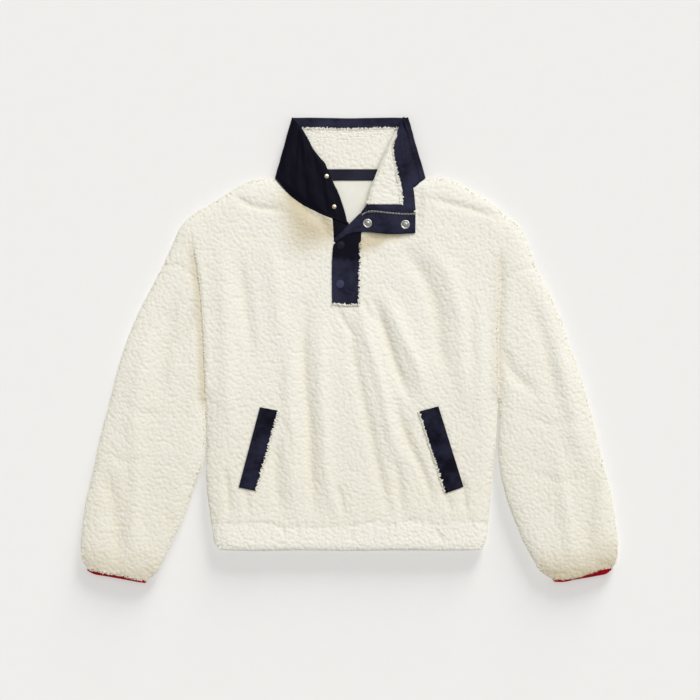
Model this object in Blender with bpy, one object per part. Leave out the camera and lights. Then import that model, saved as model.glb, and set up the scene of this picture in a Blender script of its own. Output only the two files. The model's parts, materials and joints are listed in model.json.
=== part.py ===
"""Sherpa fleece pullover with a snapped placket, laid flat on its back with the collar folded open.

X runs across the garment, Y up towards the collar and Z up from the surface it lies on, which is z = 0.
Every table is in millimetres, and the meshes are scaled to metres as they are made.
"""

import math
from collections import namedtuple

import bmesh
import bpy
import numpy as np
from mathutils import Vector
from mathutils.bvhtree import BVHTree

MM = 0.001

# Driving dimensions, in millimetres.
FLEECE = 6.5            # wall of sherpa fleece, pile pressed lightly
LINING = 3.5            # fleece lining inside the collar
NYLON = 1.2             # woven nylon of the collar's shell and trims
BINDING = 3.4           # nylon bound over a cuff's raw edge
BINDING_WIDTH = 5.0
SEAM_GAP = 0.3          # between one sewn piece and the next
CUFF_GAP = 1.8
ARMHOLE_GAP = 0.8
NECK_GAP = 0.6
CLEARANCE = 0.8         # between a panel and what lies on it
LOFT = 16.5             # top of the front above the surface, away from folds
FOLD_HEIGHT = 7.0       # height at which front and back meet at a side fold
FRONT_TURN = 30.0       # width over which the front rounds down to a side fold
BACK_TURN = 11.0        # width over which the back lifts up to a side fold
CREASE_HEIGHT = 12.2    # bottom of the creases between body and sleeves
COLLAR_SINK = 1.0       # how far the nylon collar lies below the fleece beside it
ROLL_GAP = 3.0          # between the two faces of the shell inside the lapel's roll
FACING_WIDTH = 16.0     # nylon facing inside the collar's top edge
PRESSED_GAP = 0.8       # more room under the lining where it is pressed thin
FACING_GAP = 2.4        # between the facing and the lining below it
TAPE = 0.8              # zip tape and neck tape
TAPE_EDGE = 1.5         # how far a zip's tape shows past the shell's edge
UNDER_PLACKET_DROP = 2.0
SNAP_RADIUS = 7.0
SOCKET_RADIUS = 7.6
STUD_RADIUS = 3.6

# Lines of the outline, one row for each point.
LEFT_SHOULDER = ((-125, 285), (-165.5, 282.5), (-194, 267.5), (-229.5, 245.5), (-258, 228.5), (-281.5, 207),
                 (-297.5, 173), (-311.5, 142))
RIGHT_SHOULDER = ((127.5, 285), (164, 286), (209, 264), (241, 245.5), (263, 223), (281.5, 210),
                  (298, 180), (312.5, 138))
LEFT_ARMHOLE = ((-311.5, 142), (-278, 137), (-253, 114.5), (-247, 40.5), (-242, -85.5))
RIGHT_ARMHOLE = ((312.5, 138), (279.5, 131), (252, 112.5), (249.5, 45.5), (249.5, -85.5))
LEFT_SIDE = ((-242, -85.5), (-239.5, -152.5), (-239.5, -228.5), (-232, -290))
RIGHT_SIDE = ((249.5, -85.5), (245.5, -152.5), (238.5, -228.5), (233.5, -290))
LEFT_SLEEVE_OUTER = ((-311.5, 142), (-332, 103.5), (-363.5, 39), (-384, -18.5), (-401.5, -85.5),
                     (-419, -152.5), (-432.5, -216.5), (-442.5, -257), (-447.5, -295.5), (-450, -329),
                     (-447.5, -354.5), (-438.5, -370.5))
LEFT_SLEEVE_INNER = ((-243.5, -85.5), (-241.5, -152.5), (-246, -196.5), (-256, -221.5), (-266.5, -253.5),
                     (-279.5, -287), (-295, -320.5), (-311.5, -354.5), (-323.5, -376), (-338.5, -388.5))
RIGHT_SLEEVE_OUTER = ((312.5, 138), (333.5, 99.5), (355.5, 49), (372, -1.5), (390.5, -52),
                      (404, -102.5), (416, -152.5), (427.5, -199.5), (437.5, -236.5), (446, -287),
                      (449.5, -329), (447.5, -354.5), (437, -369.5))
RIGHT_SLEEVE_INNER = ((251, -85.5), (250.5, -127.5), (248.5, -161), (251, -194.5), (256, -223.5),
                      (264, -253.5), (276.5, -287), (290, -320.5), (308.5, -354.5), (321.5, -374.5),
                      (340, -388))
HEM_LEFT = ((-232, -291.5), (-229.5, -305.5), (-227, -322.5), (-219, -336.5))
HEM_RIGHT = ((233.5, -291.5), (232, -305.5), (228.5, -322.5), (221, -336.5))
HEM_SEAM = ((-232, -291.5), (233.5, -291.5))
HEM_BOTTOM = ((-219, -336.5), (221, -336.5))
SLIT = ((-29.5, 178.5), (19.5, 178.5), (19.5, 221))


# Where the front meets the back along a rounded fold.
SIDE_FOLDS = (LEFT_SHOULDER, RIGHT_SHOULDER, LEFT_SIDE, RIGHT_SIDE, LEFT_SLEEVE_OUTER, LEFT_SLEEVE_INNER,
              RIGHT_SLEEVE_OUTER, RIGHT_SLEEVE_INNER, HEM_LEFT, HEM_RIGHT,
              ((-96.5, 388.5), (-125, 286.5)), ((98.5, 388.5), (127.5, 286.5)))

# A fold of the front: how far it stands up (or sinks, below zero), its half width, and the line it follows.
Fold = namedtuple("Fold", "rise width line")
FRONT_FOLDS = (
    Fold(-3.2, 9, ((-73, 74), (-76.5, -18.5), (-68, -119), (-64.5, -203), (-58, -273.5))),
    Fold(2.4, 11, ((-46, 49), (-48, -52), (-43, -136), (-33, -236.5), (-19.5, -273.5))),
    Fold(-2.6, 9, ((1, 49), (9, -18.5), (21, -77), (38, -152.5), (56.5, -236.5), (68, -273.5))),
    Fold(2.6, 10, ((19.5, 62.5), (36, -1.5), (53, -60.5), (68, -136), (78, -178))),
    Fold(-4.0, 8, ((43, 79), (63, 15.5), (88, -55.5), (98.5, -79))),
    Fold(2.8, 12, ((64.5, 82.5), (88, 23.5), (115, -35), (125, -77))),
    Fold(-2.6, 7, ((80, -89), (88, -127.5), (101.5, -161), (125, -211.5), (138.5, -253.5))),
    Fold(-3.4, 13, ((91.5, 170), (127, 116), (145.5, 65.5), (152, -1.5), (162, -43.5))),
    Fold(2.4, 14, ((132, 175), (164, 124.5), (184, 57.5), (189, -18.5), (195.5, -102.5))),
    Fold(-2.0, 8, ((76.5, -181.5), (83, -228.5), (88, -275.5))),
    Fold(-1.8, 9, ((-122, -152.5), (-122, -220), (-115, -278.5))),
    Fold(2.0, 12, ((-96.5, 32), (-101.5, -85.5), (-96.5, -203), (-90, -273.5))),
    Fold(-2.2, 10, ((-184, 146.5), (-172, 65.5), (-164, -18.5))),
    Fold(1.8, 16, ((-133.5, 183.5), (-122, 99.5), (-115, -1.5))),
    Fold(2.2, 14, ((-214, 166.5), (-207.5, 65.5), (-204, -52), (-201, -152.5))),
    Fold(-1.8, 6, ((-207.5, -203), (-202.5, -245), (-201, -277))),
    Fold(-1.8, 6, ((189, -216.5), (192.5, -250), (195.5, -277))),
    Fold(2.0, 12, ((216, 82.5), (219, -18.5), (216, -119))),
    Fold(-1.6, 7, ((-190.5, 262.5), (-165.5, 240.5), (-110, 232))),
    Fold(-1.6, 7, ((135, 250.5), (184, 238.5), (253, 220.5))),
    Fold(-1.8, 12, ((-291.5, 91), (-305, 7), (-318.5, -85.5))),
    Fold(2.0, 14, ((-335, 32), (-353.5, -68.5), (-365.5, -169.5))),
    Fold(-2.2, 9, ((-258, 82.5), (-274.5, 32), (-301.5, -5))),
    Fold(-2.0, 12, ((-409, -203), (-392.5, -270.5), (-385.5, -346))),
    Fold(1.8, 12, ((-352, -152.5), (-358.5, -253.5), (-365.5, -346))),
    Fold(-2.4, 10, ((253, 7), (273, -38.5), (310, -72))),
    Fold(-1.8, 12, ((303, 82.5), (328.5, -1.5), (347, -94))),
    Fold(2.0, 14, ((345, 15.5), (369, -85.5), (387, -186.5))),
    Fold(-2.0, 12, ((414, -203), (400.5, -278.5), (397.5, -346))),
    Fold(1.8, 12, ((347, -169.5), (360.5, -262), (374, -346))),
)

# A crease in which two pieces meet low down, and the share of its line over which it deepens.
CREASES = (((-263, 193.5), (-256, 146.5), *LEFT_ARMHOLE[2:]), ((246, 173), (249.5, 143), *RIGHT_ARMHOLE[2:]))
CREASE_WIDTH = 17.0
CREASE_START = 0.30
NEAR_FOLDS = np.array([0.01, 0.028, 0.055])     # extra columns beside a side fold, as shares of a panel

# A free edge towards which a panel thins: height at the edge, width of the slope, line.
Edge = namedtuple("Edge", "height width line")
FREE_EDGES = (
    Edge(11.5, 12, HEM_BOTTOM),
    Edge(11.5, 10, ((-438.5, -370.5), (-338.5, -388.5))),
    Edge(11.5, 10, ((437, -369.5), (340, -388))),
    Edge(13.0, 14, ((-96.5, 388.5), (-83, 371.5), (-71.5, 357), (-64, 340.5), (-52, 324.5), (-40.5, 311),
                    (-29.5, 284), (-21, 265.5), (-8.5, 230.5), (-4, 208.5))),
    Edge(13.0, 26, ((91.5, 378), (71.5, 351.5), (51, 309.5), (38, 267.5), (21, 230.5), (1.5, 213.5))),
)

# The collar's shell from the left front edge round the back to the right front edge. Each row is a column of
# the strip: its point on the top edge, its point on the neck seam, and the share of its height at which the
# lapel rolls over. Rows with a roll point are folded outwards there, and the top edge stands up by the rise.
# Where the collar starts to turn over, the lining is pressed thin, to this share of its loft.
Column = namedtuple("Column", "top neck roll_share roll rise loft", defaults=(None, ROLL_GAP, 1.0))
LEFT_FRONT_COLUMNS = (
    Column((-40.5, 311), (-4, 208.5), 0.40),
    Column((-48, 319.5), (-29.5, 220.5), 0.40),
    Column((-59.5, 336), (-46, 228), 0.40),
    Column((-68, 351.5), (-63, 236), 0.40),
    Column((-77.5, 365.5), (-80, 248), 0.40),
    Column((-85, 375), (-95, 259), 0.40),
)
LEFT_TURN_COLUMN = Column((-96.5, 388.5), (-125, 287), 0.40)
BACK_COLUMNS = (
    Column((-66.5, 388.5), (-83, 289), 0.38),
    Column((-33, 388), (-38, 289.5), 0.36),
    Column((1, 387.5), (1, 290), 0.34),
    Column((34.5, 388), (39.5, 289.5), 0.31),
    Column((68, 388.5), (85, 289), 0.28),
)
RIGHT_TURN_COLUMN = Column((98.5, 388.5), (127.5, 287), 0.24, loft=0.5)
RIGHT_FRONT_COLUMNS = (
    Column((92.5, 386.5), (117.5, 279), 0, (89, 378), 7, 0.1),
    Column((90, 376.5), (112.5, 274), 0, (82.5, 366.5), 5, 0.3),
    Column((90, 363), (102.5, 267.5), 0, (75.5, 353)),
    Column((91.5, 348), (89, 258.5), 0, (69, 339.5)),
    Column((94, 326), (74, 250), 0, (61.5, 328)),
    Column((96.5, 305), (59, 242.5), 0, (51, 309.5)),
    Column((101.5, 284), (45.5, 235.5), 0, (43.5, 289)),
    Column((107, 265.5), (33.5, 230), 0, (36, 267.5)),
    Column((109, 244.5), (23.5, 226), 0, (27.5, 245.5)),
    Column((110, 232), (13.5, 222), 0, (17, 231)),
)

# The storm flap, one row for each cross line: left end, right end, and layer, from 0, closed, to 1, folded
# back over itself.
FlapRow = namedtuple("FlapRow", "left right layer")
FLAP_ROWS = (
    FlapRow((-28.5, 76), (16, 74), 0),
    FlapRow((-29, 104.5), (16.5, 104.5), 0),
    FlapRow((-29, 133), (17.5, 133), 0),
    FlapRow((-27.5, 160), (17.5, 163), 0),
    FlapRow((-27, 173), (19.5, 190), 0),
    FlapRow((-23.5, 180), (21.5, 225), 0),
    FlapRow((-25.5, 182), (19.5, 227), 0.5),
    FlapRow((-23.5, 180), (21.5, 225), 1),
    FlapRow((0, 192.5), (33, 227.5), 1),
    FlapRow((20, 195.5), (49.5, 228.5), 1),
    FlapRow((66, 192), (76.5, 228.5), 1),
    FlapRow((110, 193.5), (110, 228.5), 1),
)
FLAP_THICKNESS = 1.7
WELT_THICKNESS = 1.4
WELT_PROUD = 1.6
FLAP_ROLL_GAP = 0.6     # between its two layers where it is folded back

LEFT_WELT = ((-185, -231), (-157.5, -236.5), (-120, -103), (-149.5, -97))
RIGHT_WELT = ((163, -239.5), (190.5, -230), (148.5, -95.5), (118.5, -103.5))
CLOSED_SNAPS = ((-14.5, 174), (-15.5, 109))
OPEN_SOCKETS = ((30, 210), (93, 208))
OPEN_STUDS = ((-38, 289), (-25.5, 238))

# Half sections of the snaps, from the middle of the foot outwards: share of the radius, height.
CAP_OUTLINE = ((0, 0), (1, 0), (1, 0.9), (0.8, 2.0), (0.45, 2.4), (0, 2.5))
SOCKET_OUTLINE = ((1, 0), (1, 1.2), (0.88, 1.9), (0.60, 2.1), (0.42, 1.5), (0.40, 0))
STUD_OUTLINE = ((0, 0), (1, 0), (1, 0.8), (0.5, 1.2), (0.5, 2.4), (0, 2.9))

Paint = namedtuple("Paint", "color roughness metallic")
PAINTS = {
    "fleece": Paint((0.83, 0.80, 0.68), 0.95, 0.0),
    "navy_nylon": Paint((0.022, 0.021, 0.036), 0.62, 0.0),
    "red_binding": Paint((0.33, 0.004, 0.012), 0.60, 0.0),
    "snap_cap": Paint((0.050, 0.051, 0.110), 0.40, 0.0),
    "snap_metal": Paint((0.66, 0.65, 0.63), 0.35, 0.9),
}


# ---- lines and grids -------------------------------------------------------------------------------------

def mirrored_order(line):
    """The same line, walked from its other end."""
    return tuple(reversed(line))


def steps_at(line, shares):
    """Points along a line in which every stretch between two of its points takes an equal share."""
    points = np.array(line, float)
    even = np.linspace(0, 1, len(points))
    return np.stack([np.interp(shares, even, points[:, axis]) for axis in range(points.shape[1])], -1)


def line_at(line, shares):
    """Points at these shares of a line's length."""
    points = np.array(line, float)
    steps = np.hypot(*np.diff(points, axis=0)[:, :2].T)
    walked = np.concatenate([[0.0], np.cumsum(steps)]) / steps.sum()
    return np.stack([np.interp(shares, walked, points[:, axis]) for axis in range(points.shape[1])], -1)


def corner_shares(line):
    """The share of a line's length at which each of its points lies."""
    steps = np.hypot(*np.diff(np.array(line, float), axis=0).T)
    return np.concatenate([[0.0], np.cumsum(steps)]) / steps.sum()


def beside(line, distance):
    """A line moved sideways, to its left as it is walked."""
    points = np.array(line, float)
    ahead = np.gradient(points, axis=0)
    ahead /= np.hypot(ahead[:, 0], ahead[:, 1])[:, None]
    return points + distance * np.stack([-ahead[:, 1], ahead[:, 0]], -1)


def spread(count, *extra):
    """Even shares from 0 to 1, with some extra ones."""
    return np.unique(np.round(np.concatenate([np.linspace(0, 1, count), *extra]), 6))


def eased(count):
    """Shares from 0 to 1 that crowd towards both ends."""
    return (1 - np.cos(np.linspace(0, math.pi, count))) / 2


def patch(bottom, top, left, right, across, along):
    """Points spread between four border lines, already cut into their points, in rows from bottom to top."""
    u, v = across[None, :, None], along[:, None, None]
    low, high, near, far = bottom[None], top[None], left[:, None], right[:, None]
    corners = ((1 - u) * (1 - v) * low[:, :1] + u * (1 - v) * low[:, -1:]
               + (1 - u) * v * high[:, :1] + u * v * high[:, -1:])
    return (1 - v) * low + v * high + (1 - u) * near + u * far - corners


def quad(corners, across, along):
    """Points spread between four corners, walked round from the first."""
    first, second, third, fourth = corners
    return patch(line_at((first, second), across), line_at((fourth, third), across),
                 line_at((first, fourth), along), line_at((second, third), along), across, along)


def nearest(points, line):
    """Each point's distance to a line, and the share of the line's length at which it is nearest."""
    line = np.array(line, float)
    shares = corner_shares(line)
    best = np.full(points.shape[:-1], 1e9)
    where = np.zeros(points.shape[:-1])
    for start, end, low, high in zip(line[:-1], line[1:], shares[:-1], shares[1:]):
        along = end - start
        share = np.clip(((points - start) @ along) / (along @ along), 0, 1)
        gap = np.hypot(*np.moveaxis(points - start - share[..., None] * along, -1, 0))
        closer = gap < best
        best = np.where(closer, gap, best)
        where = np.where(closer, low + share * (high - low), where)
    return best, where


def turned_over(distance, width):
    """0 at a fold's tip, rising as a quarter of an ellipse to 1 at this width from it."""
    short = 1 - np.clip(distance / width, 0, 1)
    return np.sqrt(1 - short * short)


# ---- the form of the cloth -------------------------------------------------------------------------------

def fold_distance(points):
    """Distance to the nearest side fold."""
    return np.min([nearest(points, line)[0] for line in SIDE_FOLDS], axis=0)


def front_height(points):
    """Height of the upper face of the front, the sleeves and the band."""
    height = np.full(points.shape[:-1], LOFT)
    for fold in FRONT_FOLDS:
        gap, share = nearest(points, fold.line)
        ends = np.clip(np.minimum(share, 1 - share) / 0.22, 0, 1)
        height += fold.rise * (0.25 + 0.75 * ends) * np.exp(-((gap / fold.width) ** 2))
    height = FOLD_HEIGHT + (height - FOLD_HEIGHT) * turned_over(fold_distance(points), FRONT_TURN)
    for crease in CREASES:
        gap, share = nearest(points, crease)
        depth = np.clip(share / CREASE_START, 0, 1) ** 2
        height -= depth * np.maximum(height - CREASE_HEIGHT, 0) * (1 - turned_over(gap, CREASE_WIDTH))
    for edge in FREE_EDGES:
        gap, _ = nearest(points, edge.line)
        height -= np.maximum(height - edge.height, 0) * (1 - turned_over(gap, edge.width))
    return height


def back_height(points):
    """Height of the lower face of the back: flat on the surface, lifting towards a side fold."""
    return FOLD_HEIGHT * (1 - turned_over(fold_distance(points), BACK_TURN))


def raised(points, heights):
    """Points in the plane, given these heights."""
    return np.concatenate([points, np.broadcast_to(heights, points.shape[:-1])[..., None]], -1)


def facing(grid):
    """Unit normals of a grid of points, from its own rows and columns."""
    normals = np.cross(np.gradient(grid, axis=1), np.gradient(grid, axis=0))
    return normals / np.linalg.norm(normals, axis=-1, keepdims=True)


def slope_normals(points, height, up=1):
    """Unit normals of a height over the plane, pointing up or down."""
    step = 1.0
    east, north = np.array([step, 0]), np.array([0, step])
    slope_x = (height(points + east) - height(points - east)) / (2 * step)
    slope_y = (height(points + north) - height(points - north)) / (2 * step)
    normals = up * np.stack([-slope_x, -slope_y, np.ones_like(slope_x)], -1)
    return normals / np.linalg.norm(normals, axis=-1, keepdims=True)


# ---- meshes ----------------------------------------------------------------------------------------------

def material(name):
    paint = PAINTS[name]
    made = bpy.data.materials.get(name) or bpy.data.materials.new(name)
    made.use_nodes = True
    shader = made.node_tree.nodes["Principled BSDF"]
    shader.inputs["Base Color"].default_value = (*paint.color, 1)
    shader.inputs["Roughness"].default_value = paint.roughness
    shader.inputs["Metallic"].default_value = paint.metallic
    made.diffuse_color = (*paint.color, 1)
    return made


def piece(name, mesh, paint):
    """A named object of the garment, parented to its empty."""
    mesh.materials.append(material(paint))
    made = bpy.data.objects.new(name, mesh)
    bpy.context.scene.collection.objects.link(made)
    made.parent = bpy.data.objects["pullover"]
    return made


def mesh_of(shape, name):
    """The mesh of a closed body, every face turned outwards."""
    bmesh.ops.recalc_face_normals(shape, faces=shape.faces)
    if shape.calc_volume(signed=True) < 0:
        bmesh.ops.reverse_faces(shape, faces=shape.faces)
    mesh = bpy.data.meshes.new(name)
    shape.to_mesh(mesh)
    shape.free()
    mesh.shade_smooth()
    mesh.set_sharp_from_angle(angle=math.radians(50))
    return mesh


def wall(name, outer, inner, paint, ring=False):
    """One closed body between two grids of points. A ring's columns join up, and other rims are closed."""
    rows, columns = outer.shape[:2]
    shape = bmesh.new()
    skins = []
    for grid in (outer, inner):
        skins.append([[shape.verts.new(Vector(point) * MM) for point in row] for row in grid])
    last = columns if ring else columns - 1

    def strip(a, b, c, d):
        shape.faces.new((a, b, c, d))

    for row in range(rows - 1):
        for column in range(last):
            after = (column + 1) % columns
            out, back = skins
            strip(out[row][column], out[row][after], out[row + 1][after], out[row + 1][column])
            strip(back[row][column], back[row + 1][column], back[row + 1][after], back[row][after])
    for column in range(last):
        after = (column + 1) % columns
        strip(skins[0][0][after], skins[0][0][column], skins[1][0][column], skins[1][0][after])
        strip(skins[0][-1][column], skins[0][-1][after], skins[1][-1][after], skins[1][-1][column])
    if not ring:
        for row in range(rows - 1):
            strip(skins[0][row][0], skins[0][row + 1][0], skins[1][row + 1][0], skins[1][row][0])
            strip(skins[0][row + 1][-1], skins[0][row][-1], skins[1][row][-1], skins[1][row + 1][-1])
    return piece(name, mesh_of(shape, name), paint)


def turned(name, profile, place, tilt, paint, sides=20):
    """A body turned about its own axis from (radius, height) points, at a place and tilted to a normal."""
    shape = bmesh.new()
    rings = []
    for radius, height in profile:
        corners = sides if radius > 0 else 1
        angles = [2 * math.pi * side / sides for side in range(corners)]
        points = [Vector((radius * math.cos(angle), radius * math.sin(angle), height)) for angle in angles]
        rings.append([shape.verts.new(point * MM) for point in points])
    closed_loop = profile[0][0] > 0
    pairs = list(zip(rings, rings[1:] + rings[:1])) if closed_loop else list(zip(rings, rings[1:]))
    for low, high in pairs:
        for side in range(sides):
            after = (side + 1) % sides
            corners = {id(ring[i % len(ring)]): ring[i % len(ring)] for ring, i in
                       ((low, side), (low, after), (high, after), (high, side))}
            shape.faces.new(list(corners.values()))
    made = piece(name, mesh_of(shape, name), paint)
    made.location = Vector(place) * MM
    made.rotation_mode = "QUATERNION"
    made.rotation_quaternion = Vector(tilt).to_track_quat("Z", "Y")
    return made


def top_of(*objects):
    """A function that gives the height of the topmost of these objects over a point, in millimetres."""
    trees = []
    for item in objects:
        mesh = item.data
        trees.append(BVHTree.FromPolygons([v.co for v in mesh.vertices], [p.vertices for p in mesh.polygons]))

    def height(x, y):
        hits = [tree.ray_cast(Vector((x * MM, y * MM, 1)), Vector((0, 0, -1)))[0] for tree in trees]
        return max((hit.z / MM for hit in hits if hit is not None), default=0.0)

    return height


# ---- the sewn pieces -------------------------------------------------------------------------------------

def turned_edges(outer, inner, points, level):
    """Sets the inner rim of a panel level with its outer rim where the panel ends in a side fold."""
    at_fold = fold_distance(points) < 0.8
    for rim, beside_rim in (((slice(None), 0), (slice(None), 1)), ((slice(None), -1), (slice(None), -2)),
                            ((-1, slice(None)), (-2, slice(None)))):
        inward = points[beside_rim] - points[rim]
        inward /= np.maximum(np.hypot(inward[:, 0], inward[:, 1]), 1e-6)[:, None]
        here = at_fold[rim]
        moved = raised(points[rim] + FLEECE * inward, level)
        inner[rim] = np.where(here[:, None], moved, inner[rim])
        outer[rim] = np.where(here[:, None], raised(points[rim], level), outer[rim])
    return outer, inner


def body_panel(name, neckline, base_height, level, up, across, along):
    """The front or the back, between the hem seam, the sides and armholes, the shoulders and the neckline."""
    left = (*mirrored_order(LEFT_SIDE), *mirrored_order(LEFT_ARMHOLE)[1:])
    right = (*mirrored_order(RIGHT_SIDE), *mirrored_order(RIGHT_ARMHOLE)[1:])
    top = (*mirrored_order(LEFT_SHOULDER), *neckline, *RIGHT_SHOULDER)
    stretches = len(left) - 1
    across = spread(across, NEAR_FOLDS, 1 - NEAR_FOLDS, corner_shares(top)[7:-7])
    along = spread(stretches * along + 1, [NEAR_FOLDS[0]], 1 - NEAR_FOLDS)
    points = patch(line_at((left[0], right[0]), across), line_at(top, across),
                   steps_at(left, along), steps_at(right, along), across, along)
    clip = np.maximum if up > 0 else np.minimum
    outer = raised(points, clip(base_height(points), level))
    inner = outer - FLEECE * slope_normals(points, base_height, up)
    inner[..., 2] = clip(inner[..., 2], level)
    return wall(name, *turned_edges(outer, inner, points, level), "fleece")


def body_front():
    neck = [column.neck for column in mirrored_order(LEFT_FRONT_COLUMNS[1:])]
    far_neck = [column.neck for column in RIGHT_FRONT_COLUMNS[-2::-1]]
    neckline = (*beside(neck, -NECK_GAP), *SLIT, *beside(far_neck, -NECK_GAP))
    return body_panel("body_front", neckline, front_height, FOLD_HEIGHT + SEAM_GAP / 2, 1, 27, 4)


def body_back():
    neckline = tuple((column.neck[0], column.neck[1] - NECK_GAP) for column in BACK_COLUMNS)
    return body_panel("body_back", neckline, back_height, FOLD_HEIGHT - SEAM_GAP / 2, -1, 10, 2)


def tube(name, top, bottom, near, far, across, along, thickness, paint):
    """A flattened tube, open at both ends, between two ring lines and its two side folds."""
    points = patch(bottom, top, near, far, across, along)
    below = points[:, -2:0:-1]
    outer = np.concatenate([raised(points, front_height(points)), raised(below, back_height(below))], axis=1)
    normals = [slope_normals(points, front_height), slope_normals(below, back_height, -1)]
    normals = np.concatenate(normals, axis=1)
    handed = np.sign(points[0, -1, 0] - points[0, 0, 0])
    for fold, side in ((0, handed), (len(across) - 1, -handed)):
        normals[:, fold] = raised(beside(points[:, fold], side) - points[:, fold], 0.0)
        outer[:, fold, 2] = FOLD_HEIGHT
    inner = outer - thickness * normals
    upper, lower = inner[:, 1:len(across) - 1, 2], inner[:, len(across):, 2]
    np.maximum(upper, FOLD_HEIGHT + SEAM_GAP, out=upper)
    np.minimum(lower, FOLD_HEIGHT - SEAM_GAP, out=lower)
    return wall(name, outer, inner, paint, ring=True)


def cuff_line(outer, inner, distance):
    """A line across a sleeve's end, from its outer fold to its inner one, this far up from the edge."""
    ends = np.array([outer[-1], inner[-1]], float)
    up = np.array([np.subtract(outer[-2], outer[-1]), np.subtract(inner[-2], inner[-1])], float)
    return ends + distance * up / np.hypot(up[:, 0], up[:, 1])[:, None]


def sleeve(side, armhole, outer, inner):
    across, along = np.unique(np.concatenate([eased(10), np.linspace(0, 1, 5)])), spread(14, [0.02, 0.98])
    cuff = cuff_line(outer, inner, BINDING_WIDTH + CUFF_GAP)
    ring = beside(armhole, -ARMHOLE_GAP if side == "left" else ARMHOLE_GAP)
    near = np.concatenate([cuff[:1], mirrored_order(outer)[1:-1], ring[:1]])
    far = np.concatenate([cuff[1:], mirrored_order(inner)[1:-1], ring[-1:]])
    return tube(f"sleeve_{side}", steps_at(ring, across), line_at(cuff, across),
                line_at(near, along), line_at(far, along), across, along, FLEECE, "fleece")


def cuff_binding(side, outer, inner):
    across, along = eased(10), np.array([0, 0.5, 1])
    low, high = cuff_line(outer, inner, 0), cuff_line(outer, inner, BINDING_WIDTH)
    return tube(f"cuff_binding_{side}", line_at(high, across), line_at(low, across),
                line_at((low[0], high[0]), along), line_at((low[1], high[1]), along),
                across, along, BINDING, "red_binding")


def hem_band():
    across, along = eased(20), np.array([0, 0.2, 0.5, 0.85, 1])
    return tube("hem_band", line_at(HEM_SEAM, across), line_at(HEM_BOTTOM, across),
                line_at(mirrored_order(HEM_LEFT), along), line_at(mirrored_order(HEM_RIGHT), along),
                across, along, FLEECE, "fleece")


def turning_columns(column, front, back, angles):
    """The collar's columns round a side fold, from one face to the other, between its neighbours on each."""
    made = []
    for angle in angles:
        towards = front if angle > 0 else back
        inset = FOLD_HEIGHT * (1 - math.cos(math.radians(angle)))
        ends = []
        for mine, theirs in ((column.top, towards.top), (column.neck, towards.neck)):
            step = np.subtract(theirs, mine)
            ends.append(tuple(np.array(mine) + inset * step / np.hypot(*step)))
        level = FOLD_HEIGHT * (1 + math.sin(math.radians(angle)))
        made.append((column._replace(top=ends[0], neck=ends[1]), level))
    return made


def collar_columns():
    """The columns of the collar's strip and their heights, from left front to right. None: as the front."""
    down = (85, 50, 17, -17, -50, -90)
    columns = [(column, None) for column in LEFT_FRONT_COLUMNS]
    columns += turning_columns(LEFT_TURN_COLUMN, LEFT_FRONT_COLUMNS[-1], BACK_COLUMNS[0], down)
    columns += [(column, 0.0) for column in BACK_COLUMNS]
    columns += turning_columns(RIGHT_TURN_COLUMN, RIGHT_FRONT_COLUMNS[0], BACK_COLUMNS[-1], down[::-1])
    columns += [(column, None) for column in RIGHT_FRONT_COLUMNS]
    return columns


def collar_column(column, level):
    """Points down one column of the shell's outer face, from its top edge to the neck seam."""
    top, neck = np.array(column.top, float), np.array(column.neck, float)
    folded = column.roll is not None
    roll = np.array(column.roll, float) if folded else top + column.roll_share * (neck - top)
    lapel, stand = np.linalg.norm(roll - top), np.linalg.norm(neck - roll)
    to_top, to_neck = (top - roll) / lapel, (neck - roll) / stand
    width = min(FACING_WIDTH, 0.5 * lapel)
    bend = 1.6
    distances = [0, width / 2, width - FACING_GAP / 2, width + FACING_GAP / 2]
    distances += [width + share * (lapel - bend - width) for share in (0.5, 1.0)]
    points = [top - distance * to_top for distance in distances] + [roll]
    points += [roll + (bend + share * (stand - bend)) * to_neck for share in (0, 0.14, 0.35, 0.6, 0.82, 1)]
    points = np.array(points)
    lifts = np.zeros(len(points))
    if folded:
        lifts[:6] = ROLL_GAP + (column.rise - ROLL_GAP) * (1 - np.array(distances) / lapel)
        lifts[6] = ROLL_GAP / 2
    heights = front_height(points[None])[0] - COLLAR_SINK if level is None else np.full(len(points), level)
    return raised(points, heights + lifts)


def collar():
    face = np.stack([collar_column(column, level) for column, level in collar_columns()], axis=1)
    inside = -facing(face)
    inside[2:4] = inside[2:4].mean(axis=0)
    inside /= np.linalg.norm(inside, axis=-1, keepdims=True)
    loft = np.array([column.loft for column, level in collar_columns()])[:, None]
    lining_near = NYLON + SEAM_GAP + PRESSED_GAP * (1 - loft)
    lining_far = lining_near + LINING * loft
    wall("collar_shell", face, face + NYLON * inside, "navy_nylon")
    rows, columns = slice(3, None), slice(1, -1)
    wall("collar_lining", (face + lining_near * inside)[rows, columns],
         (face + lining_far * inside)[rows, columns], "fleece")
    rows, columns = slice(0, 3), slice(None)
    wall("collar_facing", (face + lining_near * inside)[rows, columns],
         (face + (lining_near + NYLON) * inside)[rows, columns], "navy_nylon")
    zip_tapes(face, inside)


def zip_tapes(face, inside):
    """The tape along each front edge, on the inner face of the shell and a little past its edge."""
    lying = face + (NYLON + 2 * SEAM_GAP) * inside
    for side, edge, towards, rows in (("left", 0, 1, slice(4, None)), ("right", -1, -2, slice(4, 8))):
        line, normal = lying[rows, edge], inside[rows, edge]
        step = lying[rows, towards] - line
        length = np.linalg.norm(step, axis=-1, keepdims=True)
        grid = np.stack([line - TAPE_EDGE * step / length, line + (1 - 0.5 / length) * step], axis=1)
        wall(f"zip_tape_{side}", grid, grid + TAPE * normal[:, None], "navy_nylon")


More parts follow.
